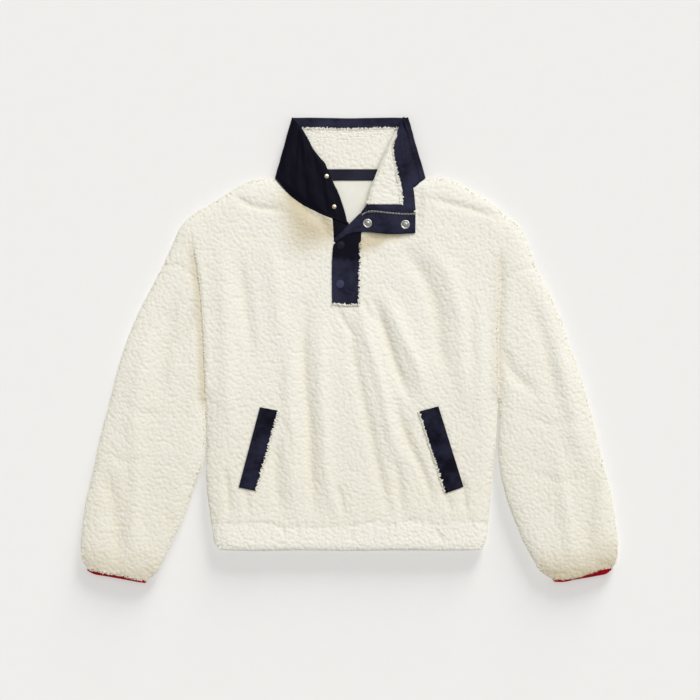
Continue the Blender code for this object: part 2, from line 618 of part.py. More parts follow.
def storm_flap(height):
    """The flap over the placket, closed below and folded back over itself above."""
    shares = np.array([0.0, 0.25, 0.5, 0.75, 1.0])[None, :, None]
    left = np.array([row.left for row in FLAP_ROWS], float)[:, None]
    right = np.array([row.right for row in FLAP_ROWS], float)[:, None]
    points = left + shares * (right - left)
    layers = np.array([row.layer for row in FLAP_ROWS])[:, None]
    rest = np.array([[height(x, y) for x, y in row] for row in points])
    rest = np.maximum(rest, front_height(points)) + CLEARANCE + FLAP_THICKNESS
    face = raised(points, rest + layers * FLAP_ROLL_GAP)
    return wall("storm_flap", face, face - FLAP_THICKNESS * facing(face), "navy_nylon")


def placket_under():
    """The strip under the flap, in the slit of the front."""
    shares = np.array([0, 0.5, 1])
    points = quad(((-27.5, 181.5), (-2.5, 181.5), (-5, 204.5), (-27.5, 215)), shares, shares)
    upper = raised(points, front_height(points) - UNDER_PLACKET_DROP)
    wall("placket_under", upper, upper - NYLON * np.array([0, 0, 1.0]), "navy_nylon")


def neck_tape():
    """The tape over the back neck seam, inside."""
    shares = np.array([0, 0.5, 1])
    points = quad(((-27, 282.5), (41, 282.5), (48.5, 301.5), (-33, 301.5)), shares, shares)
    base = max(FLEECE, NYLON + SEAM_GAP + LINING) + SEAM_GAP
    lower = raised(points, base)
    wall("neck_tape", lower + TAPE * np.array([0, 0, 1.0]), lower, "navy_nylon")


def flat_strip(name, corners, shares, height):
    """A welt that lies on the panel, from its four corners, its outer side standing proud."""
    first, second, third, fourth = (np.array(corner, float) for corner in corners)
    v = np.array(shares)[:, None, None]
    u = np.array([0, 0.35, 0.7, 1.0])[None, :, None]
    points = (1 - v) * ((1 - u) * first + u * second) + v * ((1 - u) * fourth + u * third)
    rest = np.array([[height(x, y) for x, y in row] for row in points])
    lower = raised(points, rest + CLEARANCE + WELT_PROUD * u[..., 0])
    wall(name, lower + WELT_THICKNESS * np.array([0, 0, 1.0]), lower, "navy_nylon")


def snaps(flap_height, shell_height):
    """Two caps on the closed part of the flap, two sockets on its folded part and two studs on the collar."""
    for name, places, outline, radius, height, paint in (
            ("snap_cap", CLOSED_SNAPS, CAP_OUTLINE, SNAP_RADIUS, flap_height, "snap_cap"),
            ("snap_socket", OPEN_SOCKETS, SOCKET_OUTLINE, SOCKET_RADIUS, flap_height, "snap_metal"),
            ("snap_stud", OPEN_STUDS, STUD_OUTLINE, STUD_RADIUS, shell_height, "snap_metal")):
        profile = [(share * radius, rise) for share, rise in outline]
        for label, (x, y) in zip(("upper", "lower"), places):
            east, west = height(x + radius, y), height(x - radius, y)
            north, south = height(x, y + radius), height(x, y - radius)
            tilt = (west - east, south - north, 2 * radius)
            middle = max(height(x, y), (east + west) / 2, (north + south) / 2)
            turned(f"{name}_{label}", profile, (x, y, middle + SEAM_GAP), tilt, paint)


def pocket_welts(height):
    """The nylon welt along each slanted pocket mouth, its outer edge standing a little proud."""
    shares = np.linspace(0, 1, 8)
    for side, corners in (("left", LEFT_WELT), ("right", RIGHT_WELT)):
        inner_first = corners if side == "right" else (corners[1], corners[0], corners[3], corners[2])
        flat_strip(f"pocket_welt_{side}", inner_first, shares, height)


def main():
    for item in list(bpy.data.objects):
        bpy.data.objects.remove(item)
    root = bpy.data.objects.new("pullover", None)
    bpy.context.scene.collection.objects.link(root)
    front = body_front()
    body_back()
    sleeve("left", LEFT_ARMHOLE, LEFT_SLEEVE_OUTER, LEFT_SLEEVE_INNER)
    sleeve("right", RIGHT_ARMHOLE, RIGHT_SLEEVE_OUTER, RIGHT_SLEEVE_INNER)
    cuff_binding("left", LEFT_SLEEVE_OUTER, LEFT_SLEEVE_INNER)
    cuff_binding("right", RIGHT_SLEEVE_OUTER, RIGHT_SLEEVE_INNER)
    hem_band()
    collar()
    placket_under()
    neck_tape()
    panel = top_of(front)
    flap = storm_flap(panel)
    pocket_welts(panel)
    snaps(top_of(flap), top_of(bpy.data.objects["collar_shell"]))


main()
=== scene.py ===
# A sherpa fleece pullover laid flat, its collar folded open: cloth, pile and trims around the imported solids.
# Lengths in the tables and the mesh code are millimetres in the solids' frame. Meshes are made in metres.
import json
import math

import bpy
import numpy as np
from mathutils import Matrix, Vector
from mathutils.bvhtree import BVHTree

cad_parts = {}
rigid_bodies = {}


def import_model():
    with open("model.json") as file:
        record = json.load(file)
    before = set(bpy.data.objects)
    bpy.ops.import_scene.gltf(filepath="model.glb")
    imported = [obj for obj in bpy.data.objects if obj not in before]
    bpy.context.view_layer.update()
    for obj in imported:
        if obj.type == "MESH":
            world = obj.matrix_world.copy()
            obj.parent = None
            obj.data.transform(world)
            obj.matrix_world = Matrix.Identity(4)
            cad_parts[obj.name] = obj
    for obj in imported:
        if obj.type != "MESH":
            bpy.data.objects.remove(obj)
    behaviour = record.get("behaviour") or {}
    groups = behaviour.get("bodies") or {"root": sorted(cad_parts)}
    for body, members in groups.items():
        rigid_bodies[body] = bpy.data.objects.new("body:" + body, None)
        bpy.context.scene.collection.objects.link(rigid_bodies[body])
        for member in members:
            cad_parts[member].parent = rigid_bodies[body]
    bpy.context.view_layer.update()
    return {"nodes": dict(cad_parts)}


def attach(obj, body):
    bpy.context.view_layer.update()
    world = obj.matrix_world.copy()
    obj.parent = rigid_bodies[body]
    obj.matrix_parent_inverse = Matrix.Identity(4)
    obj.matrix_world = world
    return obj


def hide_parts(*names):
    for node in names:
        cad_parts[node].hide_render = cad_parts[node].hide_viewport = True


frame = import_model()
print("frame loaded:", len(frame["nodes"]), "nodes")

mm = 0.001
detail = 1.0


def smoothAt(points, places):
    # a smooth curve through rows of points, read at these fractional row numbers
    points = np.asarray(points, float)
    last = len(points) - 1
    steps = np.diff(points, axis=0)
    lengths = np.linalg.norm(steps, axis=-1).reshape(last, -1).mean(axis=1)
    lengths = np.maximum(lengths, 1e-6).reshape((-1,) + (1,) * (points.ndim - 1))
    slopes = steps / lengths
    middle = (slopes[:-1] * lengths[1:] + slopes[1:] * lengths[:-1]) / (lengths[1:] + lengths[:-1])
    slopes = np.concatenate([slopes[:1], middle, slopes[-1:]])
    places = np.clip(np.asarray(places, float), 0, last)
    first = np.minimum(places.astype(int), last - 1)
    t = (places - first).reshape((-1,) + (1,) * (points.ndim - 1))
    start, end, length = points[first], points[first + 1], lengths[first]
    leave, arrive = slopes[first] * length, slopes[first + 1] * length
    return ((2 * t ** 3 - 3 * t ** 2 + 1) * start + (t ** 3 - 2 * t ** 2 + t) * leave
            + (3 * t ** 2 - 2 * t ** 3) * end + (t ** 3 - t ** 2) * arrive)


def placesAlong(points, step):
    # fractional row numbers that lie about one step apart, with every row among them
    gaps = np.linalg.norm(np.diff(np.asarray(points, float), axis=0), axis=-1)
    while gaps.ndim > 1:
        gaps = gaps.max(axis=-1)
    counts = [max(1, math.ceil(gap / step)) for gap in gaps]
    places = [np.linspace(row, row + 1, count, endpoint=False) for row, count in enumerate(counts)]
    return np.append(np.concatenate(places), len(gaps))


def smoothLine(points, step=2.0):
    return smoothAt(points, placesAlong(points, step))


def walked(line):
    # the length walked along a line up to each of its points
    return np.append(0.0, np.cumsum(np.linalg.norm(np.diff(line, axis=0), axis=-1)))


def bell(gap, width):
    # 1 at no gap, falling off smoothly over a width
    return np.exp(-((gap / width) ** 2))


def unit(values):
    return values / np.maximum(np.linalg.norm(values, axis=-1, keepdims=True), 1e-9)


def withHeight(flat, height):
    # flat places with a height added to each
    return np.concatenate([flat, height[..., None]], axis=-1)


def nearest(points, line, reach=1e9):
    # each point's distance to a line, and the share of the line where it is nearest; beyond reach it isn't
    # looked for
    line = np.asarray(line, float)
    best, where = np.full(len(points), 1e9), np.zeros(len(points))
    low, high = line.min(0) - reach, line.max(0) + reach
    index = np.flatnonzero(((points > low) & (points < high)).all(-1))
    near, share = np.full(len(index), 1e9), np.zeros(len(index))
    some = points[index]
    length = walked(line)
    for start, end, at, to in zip(line[:-1], line[1:], length[:-1], length[1:]):
        along = end - start
        t = np.clip((some - start) @ along / max(along @ along, 1e-9), 0, 1)
        gap = np.hypot(some[:, 0] - start[0] - t * along[0], some[:, 1] - start[1] - t * along[1])
        closer = gap < near
        near = np.where(closer, gap, near)
        share = np.where(closer, (at + t * (to - at)) / length[-1], share)
    best[index], where[index] = near, share
    return best, where


# Random fields come from seeded tables, so every run gives the same pile.
tableSide = 256
grainTables = []
for seed in range(12):
    angles = np.random.default_rng(seed + 20).uniform(0, 2 * math.pi, (tableSide, tableSide))
    grainTables.append((np.cos(angles), np.sin(angles)))


def grain(x, y, seed):
    # smooth gradient noise, about -0.7 to 0.7
    east, north = grainTables[seed]
    left, low = np.floor(x).astype(int), np.floor(y).astype(int)
    fx, fy = x - left, y - low
    u, v = (t ** 3 * (t * (t * 6 - 15) + 10) for t in (fx, fy))

    def corner(i, j):
        cell = (left + i) % tableSide, (low + j) % tableSide
        return east[cell] * (fx - i) + north[cell] * (fy - j)

    below, above = ((1 - u) * corner(0, j) + u * corner(1, j) for j in (0, 1))
    return (1 - v) * below + v * above


pileLook = {
    "height": 1.85,       # from the parting between locks to a lock's top
    "spacing": 5.7,       # between the middles of neighbouring locks
    "long": 5.6,          # half the length of one lock
    "short": 3.6,         # half its width
    "parting": 0.75,      # how wide the partings are
    "lie": -0.6,          # the way the locks lie, as an angle to the garment's width
    "strayed": 0.42,      # how far a lock's middle strays from its place, as a share of the spacing
    "bent": 0.05,         # how much a lock bends along its length
    "sway": 1.3,          # how far the locks' outlines sway
    "swayLength": 5.5,    # and over which length
    "sunk": 0.66,         # how much of the height lies below the solid's surface
    "sunkBelow": 1.15,    # the same on the face that the garment lies on
}


def pile(x, y):
    # short curly locks that lie roughly one way, 0 in the partings to about 1 on a lock's back
    spacing = pileLook["spacing"]
    east, north = grainTables[4]
    turn, size = grainTables[5]
    sway, over, strayed = pileLook["sway"], pileLook["swayLength"], pileLook["strayed"]
    x, y = x + sway * grain(x / over, y / over, 0), y + sway * grain(x / over, y / over, 1)
    left, low = np.floor(x / spacing).astype(int), np.floor(y / spacing).astype(int)
    first, second = np.full(np.shape(x), 9.0), np.full(np.shape(x), 9.0)
    for i in (-1, 0, 1):
        for j in (-1, 0, 1):
            cell = (left + i) % tableSide, (low + j) % tableSide
            middleX = (left + i + 0.5 + strayed * east[cell]) * spacing
            middleY = (low + j + 0.5 + strayed * north[cell]) * spacing
            angle = pileLook["lie"] + 1.5 * grain(middleX / 60, middleY / 60, 6) + 0.6 * turn[cell]
            along = (x - middleX) * np.cos(angle) + (y - middleY) * np.sin(angle)
            across = (y - middleY) * np.cos(angle) - (x - middleX) * np.sin(angle)
            scale = 1 + 0.16 * size[cell]
            bent = across + pileLook["bent"] * along * along * turn[cell]
            far = np.hypot(along / (scale * pileLook["long"]), bent / (scale * pileLook["short"]))
            second = np.where(far < first, first, np.minimum(second, far))
            first = np.minimum(first, far)
    ridge = np.clip((second - first) / pileLook["parting"], 0, 1) ** 0.8
    crown = 1 - np.clip(first, 0, 1.2) ** 2
    strands = 0.14 * grain(x / 1.9, y / 1.9, 7) + 0.16 * grain(x / 24, y / 24, 3)
    return np.clip(0.36 * ridge + 0.56 * crown + strands, 0, 1.1)


class Value:
    # a socket that can be used in plain sums
    def __init__(self, paint, socket):
        self.paint, self.socket = paint, socket

    def joined(self, other, operation, swapped=False):
        pair = [other, self] if swapped else [self, other]
        return self.paint.node("ShaderNodeMath", {"operation": operation}, dict(enumerate(pair)))

    def __add__(self, other):
        return self.joined(other, "ADD")

    def __radd__(self, other):
        return self.joined(other, "ADD", True)

    def __sub__(self, other):
        return self.joined(other, "SUBTRACT")

    def __rsub__(self, other):
        return self.joined(other, "SUBTRACT", True)

    def __mul__(self, other):
        return self.joined(other, "MULTIPLY")

    def __rmul__(self, other):
        return self.joined(other, "MULTIPLY", True)


class Paint:
    # one material, built node by node
    def __init__(self, name, **constants):
        self.material = bpy.data.materials.new(name)
        self.material.use_nodes = True
        self.tree = self.material.node_tree
        self.shader = self.tree.nodes["Principled BSDF"]
        for socket, value in constants.items():
            self.shader.inputs[socket.replace("_", " ")].default_value = value

    def node(self, kind, settings, inputs, output=0):
        made = self.tree.nodes.new(kind)
        for name, value in settings.items():
            setattr(made, name, value)
        for name, value in inputs.items():
            if isinstance(value, Value):
                self.tree.links.new(value.socket, made.inputs[name])
            else:
                made.inputs[name].default_value = value
        return Value(self, made.outputs[output])

    def place(self):
        return self.node("ShaderNodeTexCoord", {}, {}, "Object")

    def stretched(self, place, factors):
        return self.node("ShaderNodeVectorMath", {"operation": "MULTIPLY"}, {0: place, 1: factors})

    def noise(self, place, scale, detail=2.0, roughness=0.5):
        sockets = {"Vector": place, "Scale": scale, "Detail": detail, "Roughness": roughness}
        return self.node("ShaderNodeTexNoise", {}, sockets)

    def swayed(self, place, scale, reach):
        # the place moved about by a soft random field
        field = self.node("ShaderNodeTexNoise", {}, {"Vector": place, "Scale": scale, "Detail": 1}, "Color")
        sockets = {0: field, 1: (reach, reach, 0), 2: place}
        return self.node("ShaderNodeVectorMath", {"operation": "MULTIPLY_ADD"}, sockets)

    def attribute(self, name):
        return self.node("ShaderNodeAttribute", {"attribute_name": name}, {}, "Fac")

    def between(self, share, low, high):
        # the share's place between two limits, kept from 0 to 1
        limits = {"Value": share, "From Min": low, "From Max": high}
        return self.node("ShaderNodeMapRange", {"clamp": True}, limits)

    def mix(self, share, first, second):
        # sockets 6 and 7 take a mix node's colors, and socket 2 gives them
        return self.node("ShaderNodeMix", {"data_type": "RGBA"}, {0: share, 6: first, 7: second}, 2)

    def bump(self, height, strength, distance):
        return self.node("ShaderNodeBump", {}, {"Height": height, "Strength": strength, "Distance": distance})

    def finish(self, **links):
        for socket, value in links.items():
            self.tree.links.new(value.socket, self.shader.inputs[socket.replace("_", " ")])
        return self.material


fleeceFinish = {
    "top": (0.94, 0.925, 0.855, 1),
    # the partings' tone, darker and yellower than the locks' tops: painted shade deep in the pile
    "parting": (0.90, 0.87, 0.745, 1),
    # the warm dark tone of painted shade, in folds, creases, seams, gathers, beside the collar and flap, and
    # low down
    "hollow": (0.69, 0.615, 0.45, 1),
    "sheen": 0.15,
    "locks": 290,         # fine locks to a metre, across them
    "curls": 800,         # curls to a metre
    "turn": 0.6,          # the way the fine locks lie
    "relief": 0.28,
}


def fleecePaint():
    paint = Paint("fleece", Roughness=0.95, Sheen_Weight=fleeceFinish["sheen"], Sheen_Roughness=0.6,
                  Specular_IOR_Level=0.1)
    place = paint.place()
    # narrow locks that lie roughly one way, and sway
    bent = paint.swayed(paint.swayed(place, 13, 0.05), 260, 0.0022)
    turned = paint.node("ShaderNodeVectorRotate", {"rotation_type": "Z_AXIS"},
                        {"Vector": bent, "Angle": fleeceFinish["turn"]})
    middles = paint.node("ShaderNodeTexVoronoi", {"feature": "SMOOTH_F1"},
                         {"Vector": paint.stretched(turned, (0.58, 1, 0.7)), "Scale": fleeceFinish["locks"],
                          "Smoothness": 0.7}, "Distance")
    lock = 1 - paint.between(middles, 0.1, 0.75)
    depth = paint.attribute("pileDepth")
    hollow = paint.attribute("hollow")
    curls = paint.noise(paint.stretched(turned, (0.45, 1, 1)), fleeceFinish["curls"], 3, 0.6)
    # painted shade: the colour goes towards the partings' tone where the pile lies deep; the locks and curls
    # add their own tone
    shade = paint.between(0.65 * depth + 0.2 * lock + 0.25 * curls, 0.2, 0.8)
    color = paint.mix(shade, fleeceFinish["parting"], fleeceFinish["top"])
    # painted shade: this attribute takes the colour towards the warm shaded tone
    color = paint.mix(hollow, color, fleeceFinish["hollow"])
    relief = paint.bump(0.8 * lock + curls, fleeceFinish["relief"], 0.0008)
    return paint.finish(Base_Color=color, Normal=relief)


backingFinish = {"dark": (0.86, 0.84, 0.73, 1), "light": (0.93, 0.92, 0.84, 1), "relief": 0.3}


def backingPaint():
    # the smooth knitted back of the fleece, which shows inside the neck
    paint = Paint("fleece_backing", Roughness=0.9, Sheen_Weight=0.2, Specular_IOR_Level=0.15)
    place = paint.place()
    soft, fine = paint.noise(place, 45, 3), paint.noise(place, 600, 3, 0.6)
    knit = paint.between(soft + 0.5 * fine, 0.45, 1.0)
    color = paint.mix(knit, backingFinish["dark"], backingFinish["light"])
    return paint.finish(Base_Color=color, Normal=paint.bump(fine + soft, backingFinish["relief"], 0.0008))


wovenFinish = {
    "weave": 350,         # threads to a metre, either way
    "shine": 0.08,
    "relief": 0.18,
    # painted shade: how far the shade attribute takes the cloth towards its dark tone
    "darkest": 0.6,       # how much a fold takes the cloth towards its dark tone
}


def wovenPaint(name, dark, light, roughness, sheen=0.0):
    # woven nylon or thread between two tones
    paint = Paint(name, Sheen_Weight=sheen, Specular_IOR_Level=wovenFinish["shine"])
    place = paint.place()
    warp, weft = (paint.node("ShaderNodeTexWave", {"bands_direction": way},
                             {"Vector": place, "Scale": wovenFinish["weave"]}, "Fac") for way in "XY")
    soft = paint.noise(place, 28, 3, 0.6)
    slub = paint.noise(paint.stretched(place, (1, 6, 1)), 160, 2)
    # painted shade: the attribute darkens the cloth in folds, under the flap and on the collar's left front
    shadow = wovenFinish["darkest"] * paint.attribute("hollow")
    color = paint.mix(paint.between(soft + 0.35 * (slub - 0.5) - shadow, 0.2, 0.6), dark, light)
    relief = paint.bump(0.5 * (warp + weft) + 0.8 * slub, wovenFinish["relief"], 0.0004)
    return paint.finish(Base_Color=color, Roughness=roughness + 0.16 * (slub - 0.5), Normal=relief)


def metalPaint(name, color, roughness):
    paint = Paint(name, Metallic=1.0)
    rub = paint.noise(paint.place(), 900, 3)
    full, worn, dark = (tuple(share * c for c in color) + (1,) for share in (1, 0.82, 0.2))
    # painted shade: the attribute takes the metal towards its dark tone, as inside the socket's rim
    return paint.finish(Base_Color=paint.mix(paint.attribute("hollow"), paint.mix(rub, worn, full), dark),
                        Roughness=roughness + 0.15 * (rub - 0.5))


def capPaint(name, dark, light):
    paint = Paint(name, Specular_IOR_Level=0.17)
    cloud = paint.noise(paint.place(), 300, 2)
    return paint.finish(Base_Color=paint.mix(cloud, dark, light), Roughness=0.42 + 0.12 * cloud)


fleece = fleecePaint()
backing = backingPaint()
nylon = wovenPaint("navy_nylon", (0.0030, 0.0026, 0.0085, 1), (0.0260, 0.0270, 0.0560, 1), 0.58)
innerNylon = wovenPaint("navy_tape", (0.012, 0.012, 0.021, 1), (0.024, 0.024, 0.042, 1), 0.7, 0.04)
redBinding = wovenPaint("red_binding", (0.25, 0.0004, 0.006, 1), (0.40, 0.001, 0.012, 1), 0.6)
threadPaint = wovenPaint("navy_thread", (0.007, 0.007, 0.015, 1), (0.018, 0.019, 0.036, 1), 0.6, 0.05)
capPlastic = capPaint("snap_cap", (0.036, 0.037, 0.088, 1), (0.052, 0.054, 0.122, 1))
# painted shade: the upper snap cap gets this darker copy of the cap's paint
darkCap = capPaint("snap_cap_dark", (0.004, 0.003, 0.012, 1), (0.007, 0.006, 0.018, 1))
nickel = metalPaint("snap_metal", (0.72, 0.70, 0.67), 0.30)
brass = metalPaint("snap_brass", (0.78, 0.68, 0.48), 0.34)
zipMetal = metalPaint("zip_metal", (0.52, 0.51, 0.50), 0.38)
print("materials made")


def meshPiece(name, parts, material, replaces=()):
    # one object from several sets of points, quads and triangles
    points = np.concatenate([part["points"] for part in parts]) * mm
    starts = np.cumsum([0] + [len(part["points"]) for part in parts])
    corners, sizes = [], []
    for part, start in zip(parts, starts):
        for kind, side in (("quads", 4), ("triangles", 3)):
            faces = np.asarray(part.get(kind, ()), int).reshape(-1, side)
            corners.append((faces + start).ravel())
            sizes.append(np.full(len(faces), side))
    corners, sizes = np.concatenate(corners), np.concatenate(sizes)
    mesh = bpy.data.meshes.new(name)
    mesh.vertices.add(len(points))
    mesh.vertices.foreach_set("co", points.astype(np.float32).ravel())
    mesh.loops.add(len(corners))
    mesh.loops.foreach_set("vertex_index", corners.astype(np.int32))
    mesh.polygons.add(len(sizes))
    mesh.polygons.foreach_set("loop_start", np.concatenate([[0], np.cumsum(sizes)[:-1]]).astype(np.int32))
    mesh.update(calc_edges=True)
    mesh.validate()
    for tone in ("pileDepth", "hollow"):
        if all(tone in part for part in parts):
            layer = mesh.attributes.new(tone, "FLOAT", "POINT")
            layer.data.foreach_set("value", np.concatenate([part[tone] for part in parts]).astype(np.float32))
    mesh.materials.append(material)
    mesh.shade_smooth()
    made = bpy.data.objects.new(name, mesh)
    bpy.context.scene.collection.objects.link(made)
    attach(made, "root")
    if replaces:
        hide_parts(*replaces)
    return made


def gridFaces(rows, columns, ring=False):
    row, column = np.meshgrid(np.arange(rows - 1), np.arange(columns if ring else columns - 1), indexing="ij")
    after = (column + 1) % columns
    return np.stack([row * columns + column, row * columns + after, (row + 1) * columns + after,
                     (row + 1) * columns + column], -1).reshape(-1, 4)


def repeated(faces, count, each):
    # the faces of one small body, for count of them with this many points each
    return (np.asarray(faces)[None] + (np.arange(count) * each)[:, None, None]).reshape(-1, 4)


def ringAround(centres, radius, first, second, count):
    # points round each centre, in the plane of two directions
    angles = np.linspace(0, 2 * math.pi, count + 1)[:-1]
    return np.stack([centres + radius * (math.cos(a) * first + math.sin(a) * second) for a in angles], axis=1)


def wallPart(outer, inner, ring=False, **more):
    # a closed wall between two grids of points
    rows, columns = outer.shape[:2]
    count = rows * columns
    quads = gridFaces(rows, columns, ring)
    around = np.arange(columns if ring else columns - 1)
    after = (around + 1) % columns
    last = (rows - 1) * columns
    sides = [np.stack([after, around, around + count, after + count], -1),
             np.stack([last + around, last + after, last + after + count, last + around + count], -1)]
    if not ring:
        down = np.arange(rows - 1) * columns
        sides.append(np.stack([down, down + columns, down + columns + count, down + count], -1))
        end = down + columns - 1
        sides.append(np.stack([end + columns, end, end + count, end + columns + count], -1))
    points = np.concatenate([outer.reshape(-1, 3), inner.reshape(-1, 3)])
    quads = np.concatenate([quads, quads[:, ::-1] + count, *sides])
    a, b, c, d = (points[quads[:, i]] for i in range(4))
    if (np.cross(b - a, c - a) * a).sum() + (np.cross(c - a, d - a) * a).sum() < 0:
        quads = quads[:, ::-1]
    return {"points": points, "quads": quads, **more}


def gridNormals(grid):
    # the way each point of a grid faces
    return unit(np.cross(np.gradient(grid, axis=1), np.gradient(grid, axis=0)))


def cellCorners(field):
    # what a field of grid points has at the four corners of every cell
    return [field[:-1, :-1], field[1:, :-1], field[1:, 1:], field[:-1, 1:]]


def clippedGrid(outline, step):
    # a square grid inside a closed outline, its rim points moved onto the outline
    low = np.floor(outline.min(0) / step - 1) * step
    counts = (np.ceil((outline.max(0) - low) / step) + 2).astype(int)
    xs, ys = (low[axis] + step * np.arange(counts[axis]) for axis in (0, 1))
    grid = np.stack(np.meshgrid(xs, ys, indexing="ij"), -1)
    inside = np.zeros(counts, bool)
    moved, shift = grid.copy(), np.full(counts, 1e9)
    start, end = outline, np.roll(outline, -1, axis=0)
    for axis, lines in ((0, ys), (1, xs)):
        for number, level in enumerate(lines):
            cut = (start[:, 1 - axis] <= level) != (end[:, 1 - axis] <= level)
            a, b = start[cut], end[cut]
            share = (level - a[:, 1 - axis]) / (b[:, 1 - axis] - a[:, 1 - axis])
            crossings = np.sort(a[:, axis] + share * (b[:, axis] - a[:, axis]))
            if axis == 0:
                inside[:, number] = np.searchsorted(crossings, xs) % 2 == 1
            places = (crossings - low[axis]) / step
            for place, crossing in zip(np.round(places).astype(int), crossings):
                node = (place, number) if axis == 0 else (number, place)
                gap = abs(grid[node][axis] - crossing)
                if gap < shift[node]:
                    shift[node] = gap
                    moved[node] = grid[node]
                    moved[node][axis] = crossing
    rim = shift < 1e8
    kept = inside | rim
    number = np.cumsum(kept.ravel()).reshape(kept.shape) - 1
    corners, names = cellCorners(kept), cellCorners(number)
    held = sum(corner.astype(int) for corner in corners)
    touches = np.logical_or.reduce(cellCorners(inside))
    full = (held == 4) & ~(np.logical_and.reduce(cellCorners(rim)) & ~touches)
    quads = np.stack([name[full] for name in names], -1)
    triangles = []
    for missing in range(4):
        some = (held == 3) & ~corners[missing] & touches
        triangles.append(np.stack([names[(missing + turn) % 4][some] for turn in (1, 2, 3)], -1))
    return moved[kept], quads, np.concatenate(triangles), rim[kept]


def turnedUnder(part, drop, inset):
    # adds a rim that turns down and in from every open edge of a skin, with points of its own so the skin
    # keeps its shading up to the edge
    points = part["points"]
    edges = np.concatenate([np.stack([faces[:, i], np.roll(faces, -1, axis=1)[:, i]], -1)
                            for faces in (part["quads"], part["triangles"]) for i in range(faces.shape[1])])
    key = edges[:, 0] * len(points) + edges[:, 1]
    free = edges[~np.isin(key, edges[:, 1] * len(points) + edges[:, 0])]
    ahead = points[free[:, 1], :2] - points[free[:, 0], :2]
    inward = np.zeros((len(points), 2))
    for side in (0, 1):
        np.add.at(inward, free[:, side], np.stack([-ahead[:, 1], ahead[:, 0]], -1))
    rim = np.unique(free)
    inward = unit(inward[rim])
    number = np.zeros(len(points), int)
    number[rim] = len(points) + np.arange(len(rim))
    under = points[rim] + np.concatenate([inset * inward, np.full((len(rim), 1), -drop)], axis=1)
    start, end = number[free[:, 0]], number[free[:, 1]]
    made = dict(part)
    made["points"] = np.concatenate([points, points[rim], under])
    walls = np.stack([end, start, start + len(rim), end + len(rim)], -1)
    made["quads"] = np.concatenate([part["quads"], walls])
    for tone in ("pileDepth", "hollow"):
        made[tone] = np.concatenate([part[tone], part[tone][rim], part[tone][rim]])
    return made


# The outline's stretches, from the shoulders and the collar down.
leftShoulder = [(-125, 285), (-165.5, 282.5), (-194, 267.5), (-229.5, 245.5), (-258, 228.5), (-281.5, 207),
                (-297.5, 173), (-311.5, 142)]
rightShoulder = [(127.5, 285), (164, 286), (209, 264), (241, 245.5), (263, 223), (281.5, 210), (298, 180),
                 (312.5, 138)]
leftArmhole = [(-311.5, 142), (-278, 137), (-253, 114.5), (-247, 40.5), (-242, -85.5)]
rightArmhole = [(312.5, 138), (279.5, 131), (252, 112.5), (249.5, 45.5), (249.5, -85.5)]
leftSide = [(-242, -85.5), (-239.5, -152.5), (-239.5, -228.5), (-232, -290)]
rightSide = [(249.5, -85.5), (245.5, -152.5), (238.5, -228.5), (233.5, -288)]
leftSleeveOuter = [(-311.5, 142), (-332, 103.5), (-363.5, 39), (-384, -18.5), (-401.5, -85.5), (-419, -152.5),
                   (-432.5, -216.5), (-442.5, -257), (-447.5, -295.5), (-450, -329), (-447.5, -354.5),
                   (-440, -366)]
leftSleeveInner = [(-242, -85.5), (-241, -152.5), (-246, -196.5), (-256, -221.5), (-266.5, -253.5),
                   (-279.5, -287), (-295, -320.5), (-311.5, -354.5), (-323.5, -376), (-333.5, -383.5)]
rightSleeveOuter = [(312.5, 138), (333.5, 99.5), (355.5, 49), (372, -1.5), (390.5, -52), (404, -102.5),
                    (416, -152.5), (427.5, -199.5), (437.5, -236.5), (446, -287), (450, -329), (448.5, -351),
                    (444.5, -362.5), (439.5, -366)]
rightSleeveInner = [(249.5, -85.5), (250.5, -127.5), (248.5, -161), (251, -194.5), (256, -223.5),
                    (264, -253.5), (276.5, -287), (290, -320.5), (308.5, -354.5), (321.5, -374.5),
                    (335, -383)]
hemLeft = [(-232, -291.5), (-229.5, -305.5), (-227, -322.5), (-219, -336.5)]
hemRight = [(233.5, -289), (232, -305.5), (228.5, -322.5), (221, -336.5)]
hemSeam = [(-232, -290.5), (-190.5, -291.5), (-148.5, -290.5), (-105, -296.5), (-36, -298), (4, -295.5),
           (27.5, -291.5), (48, -286.5), (66.5, -294), (91.5, -289), (117, -284.5), (138.5, -293),
           (162, -291.5), (184, -288), (209, -289), (233.5, -288.5)]
hemBottom = [(-219, -336.5), (-167, -338), (-83, -337), (1, -338), (85, -337), (169, -337.5), (221, -336.5)]
leftNeckSeam = [(-125, 284), (-112.5, 269.5), (-98.5, 256), (-84, 245), (-64.5, 234), (-47, 225.5),
                (-28.5, 218)]
rightNeckSeam = [(13.5, 220.5), (33.5, 228.5), (59, 241), (89, 257), (102.5, 266.5), (112.5, 273),
                 (117.5, 278), (127.5, 285)]
leftFrontEdge = [(-96.5, 388.5), (-83, 371.5), (-71.5, 357), (-64, 340.5), (-52, 324.5), (-40.5, 311),
                 (-29.5, 284), (-21, 265.5), (-8.5, 230.5), (-4, 208.5)]
leftCuff = [(-438.5, -370.5), (-400.5, -382), (-365.5, -388.5), (-338.5, -388.5)]
rightCuff = [(437, -369.5), (401.5, -382), (370.5, -388), (340, -388)]

sideFolds = [leftShoulder, rightShoulder, leftSide, rightSide, leftSleeveOuter, leftSleeveInner,
             rightSleeveOuter, rightSleeveInner, hemLeft, hemRight,
             [(-96.5, 388.5), (-125, 286.5)], [(98.5, 388.5), (127.5, 286.5)]]
sideFolds = [smoothLine(line, 6.0) for line in sideFolds]

